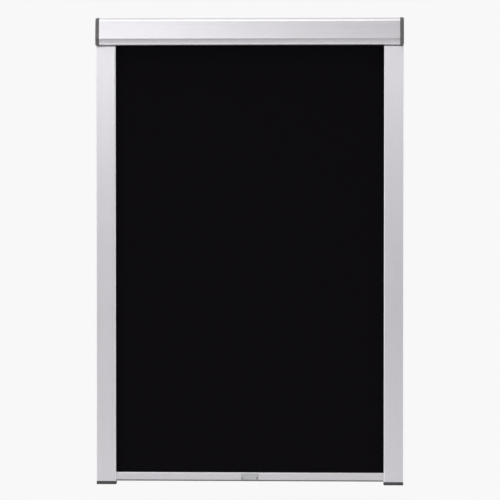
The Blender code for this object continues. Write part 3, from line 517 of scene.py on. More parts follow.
def cap_ring(x, narrower):
    """The cap's outline at x, with its flat back kept on the window frame."""
    inset = narrower - CAP_PROUD
    outline = [(-inset, -half_height), (band_foot, -half_height, BEAD), *face_corners, (-inset, half_height)]
    return [across(forward, up, x) for forward, up in rounded(outline, inset)]


for side, hand in SIDES:
    cap_rings = [cap_ring(side * cap_foot, 0)]
    for below, inset in round_over(CAP_ROUND, CAP_STEPS):
        cap_rings.append(cap_ring(side * (half_width - below), inset))
    end_cap = skinned("end_cap_moulding_" + hand, cap_rings)
    block_ends = [(side * block_face, 0), (side * (cap_foot + CAP_THICKNESS / 2), 0)]
    cut(end_cap, sections(box_corners(block_low, block_high, 1.0), across, block_ends), "UNION")
    cut(end_cap, sections(tongue, beside(side), tongue_cuts), "UNION")
    for up in PORTS_UP:
        cut(end_cap, turned([(side * x, radius) for x, radius in hole], (0, -PORT_FORWARD, up)))
    socket, sides = (BUSH_SOCKET, 64) if side < 0 else (ROD_SOCKET, 6)
    bore = [(side * (block_face - 1), socket), (side * (block_face + SOCKET_DEPTH), socket)]
    cut(end_cap, turned(bore, roller_axis, 0, sides))
    fit(end_cap, CAP_PLASTIC_PAINTED_LIGHT, "frame", "end_cap_" + hand)


# End cap screws
# Four self-tapping screws of zinc-plated steel, with low crowned heads and a cross recess, hold the
# caps to the base's ports.

SHANK = 1.2
SHANK_LENGTH = 2.4
THREAD_ROOT = 1.02
THREAD_CREST = 1.42
THREAD_PITCH = 0.9
THREAD_TURNS = 13
POINT = ((0, 0.35), (1.1, 0.9))
HEAD_RADIUS = 2.3
HEAD_HEIGHT = 1.9
HEAD_CROWN = 0.7
SCREW_LENGTH = 16.0
SCREW_GAP = 0.3
RECESS = ((0.1, 1.3, 0.34), (-1.0, 0.75, 0.2))


def plated_steel(name, streaked):
    """Zinc-plated steel, faintly streaked along the drawn wire or bar."""
    material, shader = new_finish(name, Metallic=1.0)
    streaks = speckle(material, streaked, 4.0)
    tones = (0.46, 0.46, 0.48), (0.66, 0.66, 0.66)
    return dress(material, shader, streaks, tones, (0.22, 0.38), 0.15, 0.00003)


STEEL = plated_steel("zinc_plated_steel", (300.0, 2400.0, 2400.0)), "bright_steel"
head_outer = half_width - SCREW_GAP
under_head = head_outer - HEAD_HEIGHT
tip = under_head - SCREW_LENGTH
screw_profile = [(tip + along, radius) for along, radius in POINT]
for turn in range(THREAD_TURNS):
    thread_x = tip + 1.2 + turn * THREAD_PITCH
    screw_profile += [(thread_x, THREAD_ROOT), (thread_x + THREAD_PITCH / 2, THREAD_CREST)]
screw_profile += [(under_head - SHANK_LENGTH, SHANK), (under_head, SHANK), (under_head, HEAD_RADIUS - 0.1)]
for step in range(6):
    turn = math.radians(15 * step)
    crown_x = head_outer - HEAD_CROWN * (1 - math.sin(turn))
    screw_profile.append((crown_x, HEAD_RADIUS * (0.45 + 0.55 * math.cos(turn))))
for side, hand in SIDES:
    for port_up, level in zip(PORTS_UP, ("upper", "lower")):
        at = (0, -PORT_FORWARD, port_up)
        screw_rings = turned([(side * x, radius) for x, radius in screw_profile], at, 0, 32)
        screw = skinned("cap_screw_" + level + "_" + hand, screw_rings)
        recess_rings = []
        for sunk, long, short in RECESS:
            plus = [(short, long), (short, short), (long, short)]
            plus += [(a, -b) for a, b in reversed(plus)]
            plus += [(-a, b) for a, b in reversed(plus)]
            x = side * (head_outer + sunk)
            recess_rings.append([across(PORT_FORWARD + a, port_up + b, x) for a, b in plus])
        cut(screw, recess_rings)
        fit(screw, STEEL, "frame", "end_cap_screw_" + level + "_" + hand)


# Roller
# The tube is drawn aluminium. White nylon plugs are pressed into its ends: the left one turns with a
# steel pin in a nylon bush, and the right one turns on the spring's rod.

TUBE_WALL = 1.2
PLUG_LENGTH = 18.0
FLANGE = 1.5
PIN = 2.0
PIN_IN_PLUG = 12.0
BUSH = 4.5
BUSH_FLANGE = 6.0
BUSH_FLANGE_THICKNESS = 1.0
ROD = 2.9
FIT_GAP = 0.3
CHAMFER = 0.3


def white_nylon(name):
    """Natural white nylon with a soft gloss and faint flow marks."""
    material, shader = new_finish(name, Subsurface_Weight=0.05, Subsurface_Scale=0.002)
    flow = speckle(material, (60.0, 200.0, 200.0), 4.0)
    tones = (0.70, 0.69, 0.65), (0.80, 0.79, 0.76)
    return dress(material, shader, flow, tones, (0.38, 0.52), 0.1, 0.0001)


def sleeve(start, end, bore, radius):
    """The profile of a sleeve from start to end, with broken outer edges."""
    chamfer = math.copysign(CHAMFER, end - start)
    ends = [(start, bore), (start, radius - CHAMFER), (start + chamfer, radius)]
    return ends + [(end - chamfer, radius), (end, radius - CHAMFER), (end, bore)]


NYLON = white_nylon("white_nylon"), "white_nylon"
tube = (roller_high.z - roller_low.z) / 2
tube_end = roller_high.x
tube_profile = sleeve(-tube_end, tube_end, tube - TUBE_WALL, tube)
roller_tube = skinned("drawn_tube", turned(tube_profile, roller_axis), True)
fit(roller_tube, ALUMINIUM_ACROSS, "roller", "roller_tube")

plug_radius = tube - TUBE_WALL - FIT_GAP
plug_inner = tube_end - PLUG_LENGTH
flange_start = tube_end + FIT_GAP
for side, node, bore in ((-1, "idle_plug", PIN + FIT_GAP), (1, "drive_plug", ROD + FIT_GAP)):
    body = sleeve(plug_inner, flange_start, bore, plug_radius)[:-2]
    flange = [(flange_start, plug_radius), *sleeve(flange_start, flange_start + FLANGE, bore, tube)[1:]]
    plug = skinned(node + "_moulding", turned([(side * x, r) for x, r in body + flange], roller_axis), True)
    fit(plug, NYLON, "roller", node)

socket_end = block_face + SOCKET_DEPTH
pin_profile = sleeve(PIN_IN_PLUG - tube_end, FIT_GAP - socket_end, PIN / 2, PIN)
idle_pin = skinned("turned_pin", turned(pin_profile, roller_axis, 0, 32))
fit(idle_pin, STEEL, "roller", "idle_pin")

bush_inner = FIT_GAP - block_face
bush_outer = bush_inner + BUSH_FLANGE_THICKNESS
bush_profile = sleeve(FIT_GAP - socket_end, bush_inner, PIN + FIT_GAP, BUSH)[:-2]
bush_profile += [(bush_inner, BUSH), (bush_inner, BUSH_FLANGE - CHAMFER), (bush_inner + CHAMFER, BUSH_FLANGE)]
bush_profile += [(bush_outer, BUSH_FLANGE), (bush_outer, PIN + FIT_GAP)]
idle_bush = skinned("flanged_bush", turned(bush_profile, roller_axis), True)
fit(idle_bush, NYLON, "frame", "idle_bush")


# Roller spring
# A coiled steel spring round a hexagonal steel rod winds the cloth up. The rod is held by the right
# end cap, and a nylon anchor near its inner end holds the spring's still end.

ROD_LENGTH = 236.0
ANCHOR_INSET = 6.0
ANCHOR_LENGTH = 12.0
SPRING_RADIUS = 5.0
SPRING_WIRE = 0.55
SPRING_TURNS = 72
SPRING_STEPS = 16

rod_end = socket_end - FIT_GAP
rod_start = rod_end - ROD_LENGTH
rod_profile = sleeve(rod_start, rod_end, 0, ROD)[1:-1]
spring_rod = skinned("hexagonal_rod", turned(rod_profile, roller_axis, 0, 6))
fit(spring_rod, STEEL, "frame", "spring_rod")

anchor_start = rod_start + ANCHOR_INSET
anchor_end = anchor_start + ANCHOR_LENGTH
anchor_profile = sleeve(anchor_start, anchor_end, ROD + FIT_GAP, plug_radius)
spring_anchor = skinned("anchor_moulding", turned(anchor_profile, roller_axis), True)
fit(spring_anchor, NYLON, "frame", "spring_anchor")

wire = bpy.data.curves.new("coiled_spring", "CURVE")
wire.dimensions = "3D"
wire.bevel_depth = SPRING_WIRE * MM
wire.bevel_resolution = 2
wire.use_fill_caps = True
coil = wire.splines.new("POLY")
coil_steps = SPRING_TURNS * SPRING_STEPS
coil.points.add(coil_steps)
coil_start = anchor_end + FIT_GAP + SPRING_WIRE
coil_end = plug_inner - FIT_GAP - SPRING_WIRE
for step, point in enumerate(coil.points):
    turn = 2 * math.pi * step / SPRING_STEPS
    coil_x = coil_start + (coil_end - coil_start) * step / coil_steps
    around = Vector((coil_x, SPRING_RADIUS * math.cos(turn), SPRING_RADIUS * math.sin(turn)))
    point.co = (*((roller_axis + around) * MM), 1)
spring = bpy.data.objects.new("coiled_spring", wire)
bpy.context.scene.collection.objects.link(spring)
wire.materials.append(STEEL[0])
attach(spring, "frame")
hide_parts("torsion_spring")


# Wound cloth
# Two turns of the black cloth stay on the tube when the blind is down. The cloth is a polyester weave
# with a black coating that lets no light through.

WOUND_TURNS = 2
WOUND_STEPS = 64
WOUND_PITCH = 0.2
WOUND_THICKNESS = 0.19
THREAD = 0.5


def blackout_cloth(name):
    """Black coated polyester: a fine plain weave with slubs, nearly without gloss."""
    material, shader = new_finish(name, Specular_IOR_Level=0.03, Sheen_Weight=0.02, Sheen_Roughness=0.5)
    place = add(material, "TexCoord").outputs["Object"]
    wave = {"Vector": place, "Scale": 2 * math.pi / 20 / (THREAD * MM), "Distortion": 0.6, "Detail": 1.0}
    wave["Detail Scale"] = 0.4
    threads = [add(material, "TexWave", wave, bands_direction=way).outputs["Fac"] for way in ("X", "Z")]
    weave = mixed(material, *threads)
    weft_slubs = speckle(material, (30.0, 700.0, 700.0), 3.0)
    slubs = mixed(material, weft_slubs, speckle(material, (700.0, 700.0, 30.0), 3.0))
    tone = mixed(material, weave, slubs, 0.6)
    tones = (0.0030, 0.0024, 0.0033), (0.0048, 0.0040, 0.0055)
    surface = mixed(material, weave, slubs, 0.4)
    return dress(material, shader, tone, tones, (0.75, 0.95), 0.5, 0.00008, height=surface)


CLOTH = blackout_cloth("blackout_cloth"), "black_cloth"
roll_low, roll_high = box_of("fabric_roll")
hung_low, hung_high = box_of("blackout_fabric")
hung_middle = (hung_low.y + hung_high.y) / 2
wound_radius = hung_middle - roller_axis.y
spiral, spiral_back = [], []
for step in range(WOUND_TURNS * WOUND_STEPS + 1):
    turns_left = WOUND_TURNS - step / WOUND_STEPS
    turn = 2 * math.pi * turns_left
    for side, edge in ((1, spiral), (-1, spiral_back)):
        at = wound_radius - WOUND_PITCH * turns_left + side * WOUND_THICKNESS / 2
        edge.append((at * math.cos(turn), at * math.sin(turn)))
wound_rings = []
for x in (roll_low.x, roll_high.x):
    wound_rings.append([(roller_axis + Vector((x, a, b))) * MM for a, b in spiral + spiral_back[::-1]])
wound = skinned("wound_cloth", wound_rings)
fit(wound, CLOTH, "roller", "fabric_roll")


# Side rail channels
# Each channel is an aluminium extrusion, screwed to the window frame through three holes. It holds
# two brush strips and guides the pull bar's slider. Its outer room takes the screws and the tongues.

RAIL_WALL = 1.2
FLANGE_DEPTH = 7.0
MOUTH_BACK = 3.35
LIP_START = 2.6
GROOVE = (3.8, 9.6)
GROOVE_DEPTH = 2.6
LIP_DEPTH = 3.5
PILE_OPENING = (5.1, 8.3)
GUIDE = (10.8, 26.8)
SCREW_ROOM = (28.0, 36.8)
CATCH = 0.6
CATCH_HEIGHT = 1.0
HOLE_INSET = 62.0

ALUMINIUM_UPRIGHT = satin_aluminium("satin_aluminium_upright", 2), "satin_aluminium"
channel_depth = -box_of("rail_channel_right")[0].y
rail_low, rail_high = box_of("rail_cover_right")
groove_half = [
    (LIP_START, LIP_DEPTH), (PILE_OPENING[0], LIP_DEPTH), (PILE_OPENING[0], GROOVE_DEPTH),
    (GROOVE[0], GROOVE_DEPTH), (GROOVE[0], RAIL_WALL), (GROOVE[1], RAIL_WALL),
    (GROOVE[1], GROOVE_DEPTH), (PILE_OPENING[1], GROOVE_DEPTH), (PILE_OPENING[1], LIP_DEPTH),
    (GUIDE[0], LIP_DEPTH), (GUIDE[0], RAIL_WALL), (GUIDE[1], RAIL_WALL),
]
catch = channel_depth - RAIL_WALL
room_start, room_end = SCREW_ROOM
channel_corners = [
    (0, 0), (0, MOUTH_BACK), (RAIL_WALL, MOUTH_BACK), (RAIL_WALL, RAIL_WALL),
    (LIP_START, RAIL_WALL),
    *groove_half,
    *[(outward, channel_depth - forward) for outward, forward in reversed(groove_half)],
    (LIP_START, channel_depth), (room_start, channel_depth), (room_start, catch),
    (room_start + CATCH, catch), (room_start + CATCH, catch - CATCH_HEIGHT),
    (room_start, catch - CATCH_HEIGHT), (room_start, RAIL_WALL), (room_end, RAIL_WALL),
    (room_end, FLANGE_DEPTH), (room_end + RAIL_WALL, FLANGE_DEPTH), (room_end + RAIL_WALL, 0),
]
for side, hand in SIDES:
    channel_rings = run(channel_corners, beside(side), rail_low.z, rail_high.z)
    channel = skinned("channel_extrusion_" + hand, channel_rings)
    hole_x = side * (rail_inner + sum(SCREW_ROOM) / 2)
    for hole_up in (rail_low.z + HOLE_INSET, (rail_low.z + rail_high.z) / 2, rail_high.z - HOLE_INSET):
        cut(channel, turned([(-3, FIXING_HOLE), (3, FIXING_HOLE)], (hole_x, 0, hole_up), 1))
    fit(channel, ALUMINIUM_UPRIGHT, "frame", "rail_channel_" + hand)


# Side rail covers
# The flat fronts of the rails are satin aluminium extrusions, clipped over the channels. Their inner
# edge turns in to the mouth that the cloth and the pull bar run in.

COVER_WALL = 1.2
INNER_ROUND = 3.0
OUTER_ROUND = 1.3
CLIP = 28.9
CLIP_THICKNESS = 1.0
CLIP_DEPTH = 4.0

rail_width = rail_high.x - rail_low.x
rail_depth = -rail_low.y
roof = rail_depth - COVER_WALL
clip_tip = roof - CLIP_DEPTH
mouth = channel_depth - MOUTH_BACK
rail_cover_corners = [
    (rail_width, 0), (rail_width, rail_depth, OUTER_ROUND), (0, rail_depth, INNER_ROUND),
    (0, mouth), (COVER_WALL, mouth), (COVER_WALL, roof, INNER_ROUND - COVER_WALL), (CLIP, roof),
    (CLIP, clip_tip + CATCH_HEIGHT), (CLIP - CATCH, clip_tip + CATCH_HEIGHT),
    (CLIP - CATCH, clip_tip), (CLIP + CLIP_THICKNESS, clip_tip), (CLIP + CLIP_THICKNESS, roof),
    (rail_width - COVER_WALL, roof, OUTER_ROUND - COVER_WALL), (rail_width - COVER_WALL, 0),
]
for side, hand in SIDES:
    cover = skinned("cover_extrusion_" + hand, run(rail_cover_corners, beside(side), rail_low.z, rail_high.z))
    fit(cover, ALUMINIUM_UPRIGHT, "frame", "rail_cover_" + hand)


# Rail brushes
# Black brush strips slide into the channels' grooves, behind and in front of the cloth, and keep
# light from passing at its sides.

PILE_BACKING = 0.8
PILE_ROWS = (-0.65, 0.65)
PILE_SPACING = 1.1

for seed, strip in enumerate(("rear_left", "rear_right", "front_left", "front_right"), 2):
    shared = (strip.startswith("rear"), PILE_BACKING, 2, PILE_SPACING, PILE_ROWS, seed)
    brush("brush_strip_" + strip, "pile_" + strip, *shared)


# Rail feet
# Moulded caps of the same dark grey plastic close the rails below. A tongue holds each in its rail,
# and the pull bar's slider stops on it.

FOOT_ROUND = 0.8
FOOT_STEPS = 4
FOOT_TONGUE_LOW = (28.3, 1.5)
FOOT_TONGUE_HIGH = (36.5, 11.2)
FOOT_TONGUE_UP = 14.0

DARK_PLASTIC = dark_plastic("dark_plastic", (0.051, 0.047, 0.05), (0.078, 0.073, 0.077))
foot_corners = [
    (rail_width, 0, FOOT_ROUND), (rail_width, rail_depth, OUTER_ROUND),
    (0, rail_depth, INNER_ROUND), (0, 0, FOOT_ROUND),
]
foot_tongue = box_corners(FOOT_TONGUE_LOW, FOOT_TONGUE_HIGH, TONGUE_EDGE)
foot_top = rail_low.z - FIT_GAP
tongue_top = rail_low.z + FOOT_TONGUE_UP
for side, hand in SIDES:
    foot_up = box_of("rail_foot_" + hand)[0].z
    foot_cuts = [(foot_up + above, inset) for above, inset in round_over(FOOT_ROUND, FOOT_STEPS)][::-1]
    foot_cuts += [(foot_top - (up - foot_up), inset) for up, inset in reversed(foot_cuts)]
    foot = skinned("foot_moulding_" + hand, sections(foot_corners, beside(side), foot_cuts))
    tongue_cuts = [((foot_up + foot_top) / 2, 0), (tongue_top - 1.5, 0), (tongue_top, TONGUE_TAPER)]
    cut(foot, sections(foot_tongue, beside(side), tongue_cuts), "UNION")
    fit(foot, DARK_PLASTIC, "frame", "rail_foot_" + hand)


# Cloth
# The cloth hangs from the roller to the pull bar, stretched flat by the spring, with only the
# faintest waves. It slips out of sight at the top as the bar rises.

CLOTH_CELL = 6.0
CLOTH_WAVE = 0.25
CLOTH_CALM = 25.0
WAVE_SIZE = (160, 260)

hung_width = hung_high.x - hung_low.x
hung_length = hung_high.z - hung_low.z
cloth_thickness = hung_high.y - hung_low.y
columns = round(hung_width / CLOTH_CELL)
rows = round(hung_length / CLOTH_CELL)
cloth_rings = []
for row in range(rows + 1):
    z = hung_low.z + hung_length * row / rows
    ring = []
    for face, order in ((-0.5, 1), (0.5, -1)):
        for column in range(columns + 1)[::order]:
            x = hung_low.x + hung_width * column / columns
            near_edge = min(x - hung_low.x, hung_high.x - x, z - hung_low.z, hung_high.z - z)
            calm = min(1, near_edge / CLOTH_CALM) ** 2
            wave = CLOTH_WAVE * calm * noise.noise(Vector((x / WAVE_SIZE[0], 0.5, z / WAVE_SIZE[1])))
            ring.append(Vector((x, hung_middle + wave + face * cloth_thickness, z)) * MM)
    cloth_rings.append(ring)
cloth = skinned("hanging_cloth", cloth_rings)
fit(cloth, CLOTH, "frame", "blackout_fabric")
bar_low, bar_high = box_of("pull_bar")
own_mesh(cloth)


# Pull bar
# A hollow satin aluminium extrusion runs in both rails. A groove along its top locks in the hem, a
# slot along its bottom holds the seal, and two holes in its front take the grip's pegs.

BAR_WALL = 1.2
BAR_TOP_SUNK = 0.8
BAR_FRONT_ROUND = 2.6
BAR_BACK_ROUND = 1.0
SEAL_SHOW = 2.8
SEAL_SLOT = 2.4
SEAL_SLOT_HEAD = 4.8
SEAL_SLOT_HEIGHT = 1.6
HOLLOW = (6.9, 11.4)
HOLLOW_EDGE = 0.4
HEM_UP = 15.0
HEM_GROOVE = 2.2
HEM_MOUTH = 1.5
PEG_HOLE = 1.8
PEG_X = 9.0

bar_middle = (bar_low.y + bar_high.y) / 2
bar_foot = rail_low.z
bar_half = (bar_high.y - bar_low.y) / 2
bar_height = bar_high.z - bar_foot - BAR_TOP_SUNK


def in_bar(forward, up, x):
    """A point of the bar's section, forward of its middle and above the rails' lower ends."""
    return Vector((x, bar_middle - forward, bar_foot + up)) * MM


slot_ledge = SEAL_SHOW + BAR_WALL
slot_roof = slot_ledge + SEAL_SLOT_HEIGHT
slot_half, slot_head_half, mouth_half = SEAL_SLOT / 2, SEAL_SLOT_HEAD / 2, HEM_MOUTH / 2
mouth_angle = math.degrees(math.acos(mouth_half / HEM_GROOVE))
bar_corners = [
    (slot_half, SEAL_SHOW), (bar_half, SEAL_SHOW), (bar_half, bar_height, BAR_FRONT_ROUND),
    (mouth_half, bar_height),
    *arc((0, HEM_UP), HEM_GROOVE, mouth_angle, -180 - mouth_angle, 32),
    (-mouth_half, bar_height), (-bar_half, bar_height, BAR_BACK_ROUND), (-bar_half, SEAL_SHOW),
    (-slot_half, SEAL_SHOW), (-slot_half, slot_ledge), (-slot_head_half, slot_ledge),
    (-slot_head_half, slot_roof), (slot_head_half, slot_roof), (slot_head_half, slot_ledge),
    (slot_half, slot_ledge),
]
bar = skinned("bar_extrusion", run(bar_corners, in_bar, bar_low.x, bar_high.x))
side_wall = bar_half - BAR_WALL
hollow = box_corners((-side_wall, HOLLOW[0]), (side_wall, HOLLOW[1]), HOLLOW_EDGE)
cut(bar, sections(hollow, in_bar, [(bar_low.x - 1, 0), (bar_high.x + 1, 0)]))
pegs = [(side * PEG_X, bar_middle, bar_foot + sum(HOLLOW) / 2) for side in (-1, 1)]
for peg in pegs:
    cut(bar, turned([(-2 * bar_half, PEG_HOLE), (0, PEG_HOLE)], peg, 1, 32))
# The bar is the same aluminium as the rails, but its copy has its colours darkened by 0.94: painted shade on
# the bar.
SHADED_BAR_ALUMINIUM = satin_aluminium("satin_aluminium_bar_painted_shade", 0, 0.94), "satin_aluminium"
fit(bar, SHADED_BAR_ALUMINIUM, "bar", "pull_bar")


# Hem
# The cloth's lower edge is folded and welded into a loop. A nylon rod pushed through it locks the
# loop into the bar's groove.

HEM_ROD = 1.25
HEM_INSET = 2.0
HEM_BORE = 1.55
HEM_SLIT = 0.02
HEM_TOP_GAP = 0.03

hem_half = bar_high.x - HEM_INSET
hem_rod_profile = sleeve(-hem_half, hem_half, HEM_ROD / 2, HEM_ROD)
hem_rod = skinned("hem_stiffener", turned(hem_rod_profile, in_bar(0, HEM_UP, 0) / MM, 0, 32))
fit(hem_rod, NYLON, "bar", "hem_rod")

hem_outer = HEM_BORE + cloth_thickness
outer_angle = math.degrees(math.acos(cloth_thickness / hem_outer))
inner_angle = math.degrees(math.acos(HEM_SLIT / HEM_BORE))
stem = hung_low.z - HEM_TOP_GAP - bar_foot
hem_corners = [
    (cloth_thickness, stem, 0),
    *arc((0, HEM_UP), hem_outer, outer_angle, -180 - outer_angle, 32),
    (-cloth_thickness, stem, 0), (-HEM_SLIT, stem, 0),
    *arc((0, HEM_UP), HEM_BORE, -180 - inner_angle, inner_angle, 32),
    (HEM_SLIT, stem, 0),
]
hem = skinned("folded_hem", run(hem_corners, in_bar, -hem_half, hem_half, 0.05))
fit(hem, CLOTH, "bar", "fabric_hem")


# Bar seal
# A soft grey strip in the bar's lower slot rests on the window sill. Its lower edge is a little
# uneven, as a cut foam strip's is.

SEAL_THICKNESS = 5.2
SEAL_CORNER = 0.6
SEAL_STATIONS = 120
SEAL_WAVE = 0.25
WAVY_HEIGHT = 1.5


def grey_seal(name):
    """Grey foam rubber with a fine skin and pores."""
    material, shader = new_finish(name, Specular_IOR_Level=0.25)
    skin = speckle(material, (60.0, 200.0, 200.0), 3.0, 5.0)
    pores = mixed(material, speckle(material, (1500.0,) * 3, 3.0), skin)
    tones = (0.17, 0.165, 0.17), (0.25, 0.245, 0.25)
    return dress(material, shader, pores, tones, (0.75, 0.92), 0.5, 0.00015)


GREY_SEAL = grey_seal("grey_foam_rubber"), "seal_grey"
seal_box_low, seal_box_high = box_of("bar_seal")
neck, head, half_seal = slot_half - FIT_GAP, slot_head_half - FIT_GAP, SEAL_THICKNESS / 2
seal_half = [
    (half_seal, 0, SEAL_CORNER), (half_seal, SEAL_SHOW - FIT_GAP, EDGE),
    (neck, SEAL_SHOW - FIT_GAP, EDGE), (neck, slot_ledge + FIT_GAP, EDGE),
    (head, slot_ledge + FIT_GAP, EDGE), (head, slot_roof - FIT_GAP, EDGE),
]
bar_seal_corners = seal_half + [(-a, b, radius) for a, b, radius in reversed(seal_half)]
bar_seal_rings = []
for station in range(SEAL_STATIONS + 1):
    x = seal_box_low.x + (seal_box_high.x - seal_box_low.x) * station / SEAL_STATIONS
    lift = SEAL_WAVE * (0.5 + 0.5 * noise.noise(Vector((x / 14, 3.3, 0))))
    ring = []
    for a, b in rounded(bar_seal_corners):
        ring.append(in_bar(a, b + lift * max(0, 1 - b / WAVY_HEIGHT), x))
    bar_seal_rings.append(ring)
bar_seal = skinned("bar_foam_strip", bar_seal_rings)
fit(bar_seal, GREY_SEAL, "bar", "bar_seal")


# Finger grip
# A grey moulded grip in the middle of the bar, with drafted sides and a lip for the fingers below. A
# wedge-shaped slit at each end sets the lip off, and two pegs hold the grip in the bar's front wall.

GRIP_HALF_WIDTH = 17.5
GRIP_TOP = 16.0
GRIP_BOTTOM = 3.4
GRIP_TOP_THICKNESS = 1.6
GRIP_REACH = 7.0
GRIP_LIP_HEIGHT = 1.6
GRIP_LIP_THICKNESS = 1.4
GRIP_GROOVE_UP = 4.2
GRIP_GROOVE_BACK = 3.2
GRIP_SLOPE = 22.0
GRIP_ROUND = 0.45
SLIT_MOUTH = ((12.0, 2.9), (18.2, 2.9), (16.3, 10.6), (14.2, 10.6))
SLIT_ROOT = ((14.95, 2.9), (15.05, 2.9), (15.05, 10.6), (14.95, 10.6))
SLIT_FLOOR = 0.6
PEG = 1.5
PEG_START = 2.0
PEG_SUNK = 0.8


def grey_plastic(name):
    """Mid grey moulded plastic with a slight metallic fleck and a fine texture."""
    patches, tones = ((70.0,) * 3, 3.0, 6.0), ((0.447, 0.44, 0.463), (0.542, 0.535, 0.558))
    return moulded_plastic(name, 2400.0, patches, tones, (0.4, 0.54), 0.3, 0.00005, Metallic=0.25)


GRIP_GREY = grey_plastic("grip_grey_plastic"), "grip_grey"
grip_back = bar_half + FIT_GAP
grip_tip = bar_half + GRIP_REACH
grip_plate = bar_half + GRIP_TOP_THICKNESS
grip_corners = [
    (grip_back, GRIP_BOTTOM, GRIP_ROUND), (grip_plate, GRIP_BOTTOM, GRIP_ROUND),
    (bar_half + GRIP_GROOVE_BACK, GRIP_BOTTOM + GRIP_GROOVE_UP, 0.6),
    (grip_tip - GRIP_LIP_THICKNESS, GRIP_BOTTOM, GRIP_ROUND),
    (grip_tip, GRIP_BOTTOM, GRIP_ROUND), (grip_tip, GRIP_BOTTOM + GRIP_LIP_HEIGHT, GRIP_ROUND),
    (grip_plate, GRIP_TOP, GRIP_ROUND), (grip_back, GRIP_TOP, GRIP_ROUND),
]
grip_draft = math.tan(math.radians(GRIP_SLOPE))
grip_ends = round_over(GRIP_ROUND, 3)
grip_rings = []
for side, ends in ((-1, grip_ends[::-1]), (1, grip_ends)):
    for from_end, inset in ends:
        ring = []
        for a, b in rounded(grip_corners, inset):
            half = GRIP_HALF_WIDTH - from_end - (a - grip_back) * grip_draft
            ring.append(in_bar(a, b, side * half))
        grip_rings.append(ring)
grip = skinned("grip_moulding", grip_rings)
for side in (-1, 1):
    slit_rings = []
    for forward, outline in ((grip_back + SLIT_FLOOR, SLIT_ROOT), (grip_tip + 1, SLIT_MOUTH)):
        slit_rings.append([in_bar(forward, up, side * x) for x, up in outline])
    cut(grip, slit_rings)
peg_profile = [(-grip_back - PEG_SUNK, PEG), (-PEG_START - CHAMFER, PEG), (-PEG_START, PEG - CHAMFER)]
for peg in pegs:
    cut(grip, turned(peg_profile, peg, 1, 32), "UNION")
fit(grip, GRIP_GREY, "bar", "pull_grip")


# Sliders
# A dark moulded slider is pushed into each end of the bar. A thin web passes between the brushes to
# a block that runs in the rail's guide room, with a pocket for the brake.

CHEEK = (2.5, 4.3)
CHEEK_HALF = 3.6
CHEEK_EDGE = 0.3
WEB_HALF = 0.6
SLIDER_BLOCK = (11.4, 26.2)
SLIDER_BLOCK_HALF = 5.95
SLIDER_BLOCK_EDGE = 0.8
SLIDER_HEIGHT = 18.3
SPIGOT_START = -17.8
SPIGOT_TAPER = (1.5, 0.6)
POCKET_HALF = 4.0
POCKET_DEPTH = 4.5
POCKET_HALF_HEIGHT = 5.5


def in_slider(side):
    """How a section of the left (-1) or right (1) slider is placed, forward of the bar's middle."""
    return lambda outward, forward, up: in_bar(forward, up, side * (rail_inner + outward))


slider_half = [
    (CHEEK[0], CHEEK_HALF, CHEEK_EDGE), (CHEEK[1], CHEEK_HALF, CHEEK_EDGE),
    (CHEEK[1], WEB_HALF, CHEEK_EDGE), (SLIDER_BLOCK[0], WEB_HALF, CHEEK_EDGE),
    (SLIDER_BLOCK[0], SLIDER_BLOCK_HALF, SLIDER_BLOCK_EDGE),
    (SLIDER_BLOCK[1], SLIDER_BLOCK_HALF, SLIDER_BLOCK_EDGE),
]
slider_corners = slider_half + [(a, -b, radius) for a, b, radius in reversed(slider_half)]
spigot_half = side_wall - FIT_GAP
spigot_low, spigot_high = (-spigot_half, HOLLOW[0] + FIT_GAP), (spigot_half, HOLLOW[1] - FIT_GAP)
spigot = box_corners(spigot_low, spigot_high, HOLLOW_EDGE)
taper_length, taper = SPIGOT_TAPER
spigot_cuts = [(SPIGOT_START, taper), (SPIGOT_START + taper_length, 0), (sum(CHEEK) / 2, 0)]
pocket_middle = sum(GUIDE) / 2
pocket_low = (pocket_middle - POCKET_HALF, -SLIDER_BLOCK_HALF - 1)
pocket_high = (pocket_middle + POCKET_HALF, POCKET_DEPTH - SLIDER_BLOCK_HALF)
pocket = box_corners(pocket_low, pocket_high, HOLLOW_EDGE)
brake_up = bar_height / 2
pocket_cuts = [(brake_up - POCKET_HALF_HEIGHT, 0), (brake_up + POCKET_HALF_HEIGHT, 0)]
for side, hand in SIDES:
    slider_rings = run(slider_corners, in_slider(side), 0, SLIDER_HEIGHT, CHEEK_EDGE)
    slider = skinned("slider_moulding_" + hand, slider_rings)
    cuts = [(side * (rail_inner + outward), inset) for outward, inset in spigot_cuts]
    cut(slider, sections(spigot, in_bar, cuts), "UNION")
    cut(slider, sections(pocket, in_slider(side), pocket_cuts))
    fit(slider, DARK_PLASTIC, "bar", "bar_slider_" + hand)


# Brakes
# In each slider's pocket a bowed steel leaf spring presses a block of felt on the channel's back
# wall, which holds the bar wherever it is left.

PAD_HALF = 3.7
PAD_BACK = -6.25
PAD_FRONT = -3.85
BRAKE_HALF_HEIGHT = 5.2
LEAF_HALF_WIDTH = 2.5
LEAF_THICKNESS = 0.4
LEAF_CROWN = -3.55
LEAF_FLOOR = -2.15
LEAF_STEPS = 24


def grey_felt(name):
    """Grey wool felt: matted fibres with a soft sheen."""
    material, shader = new_finish(name, Specular_IOR_Level=0.1, Sheen_Weight=0.4, Sheen_Roughness=0.5)
    fibres = speckle(material, (700.0, 2500.0, 1200.0), 5.0)
    fibres = mixed(material, fibres, speckle(material, (200.0,) * 3, 4.0))
    tones = (0.18, 0.175, 0.165), (0.32, 0.31, 0.295)
    return dress(material, shader, fibres, tones, (0.9, 1.0), 0.8, 0.0003)


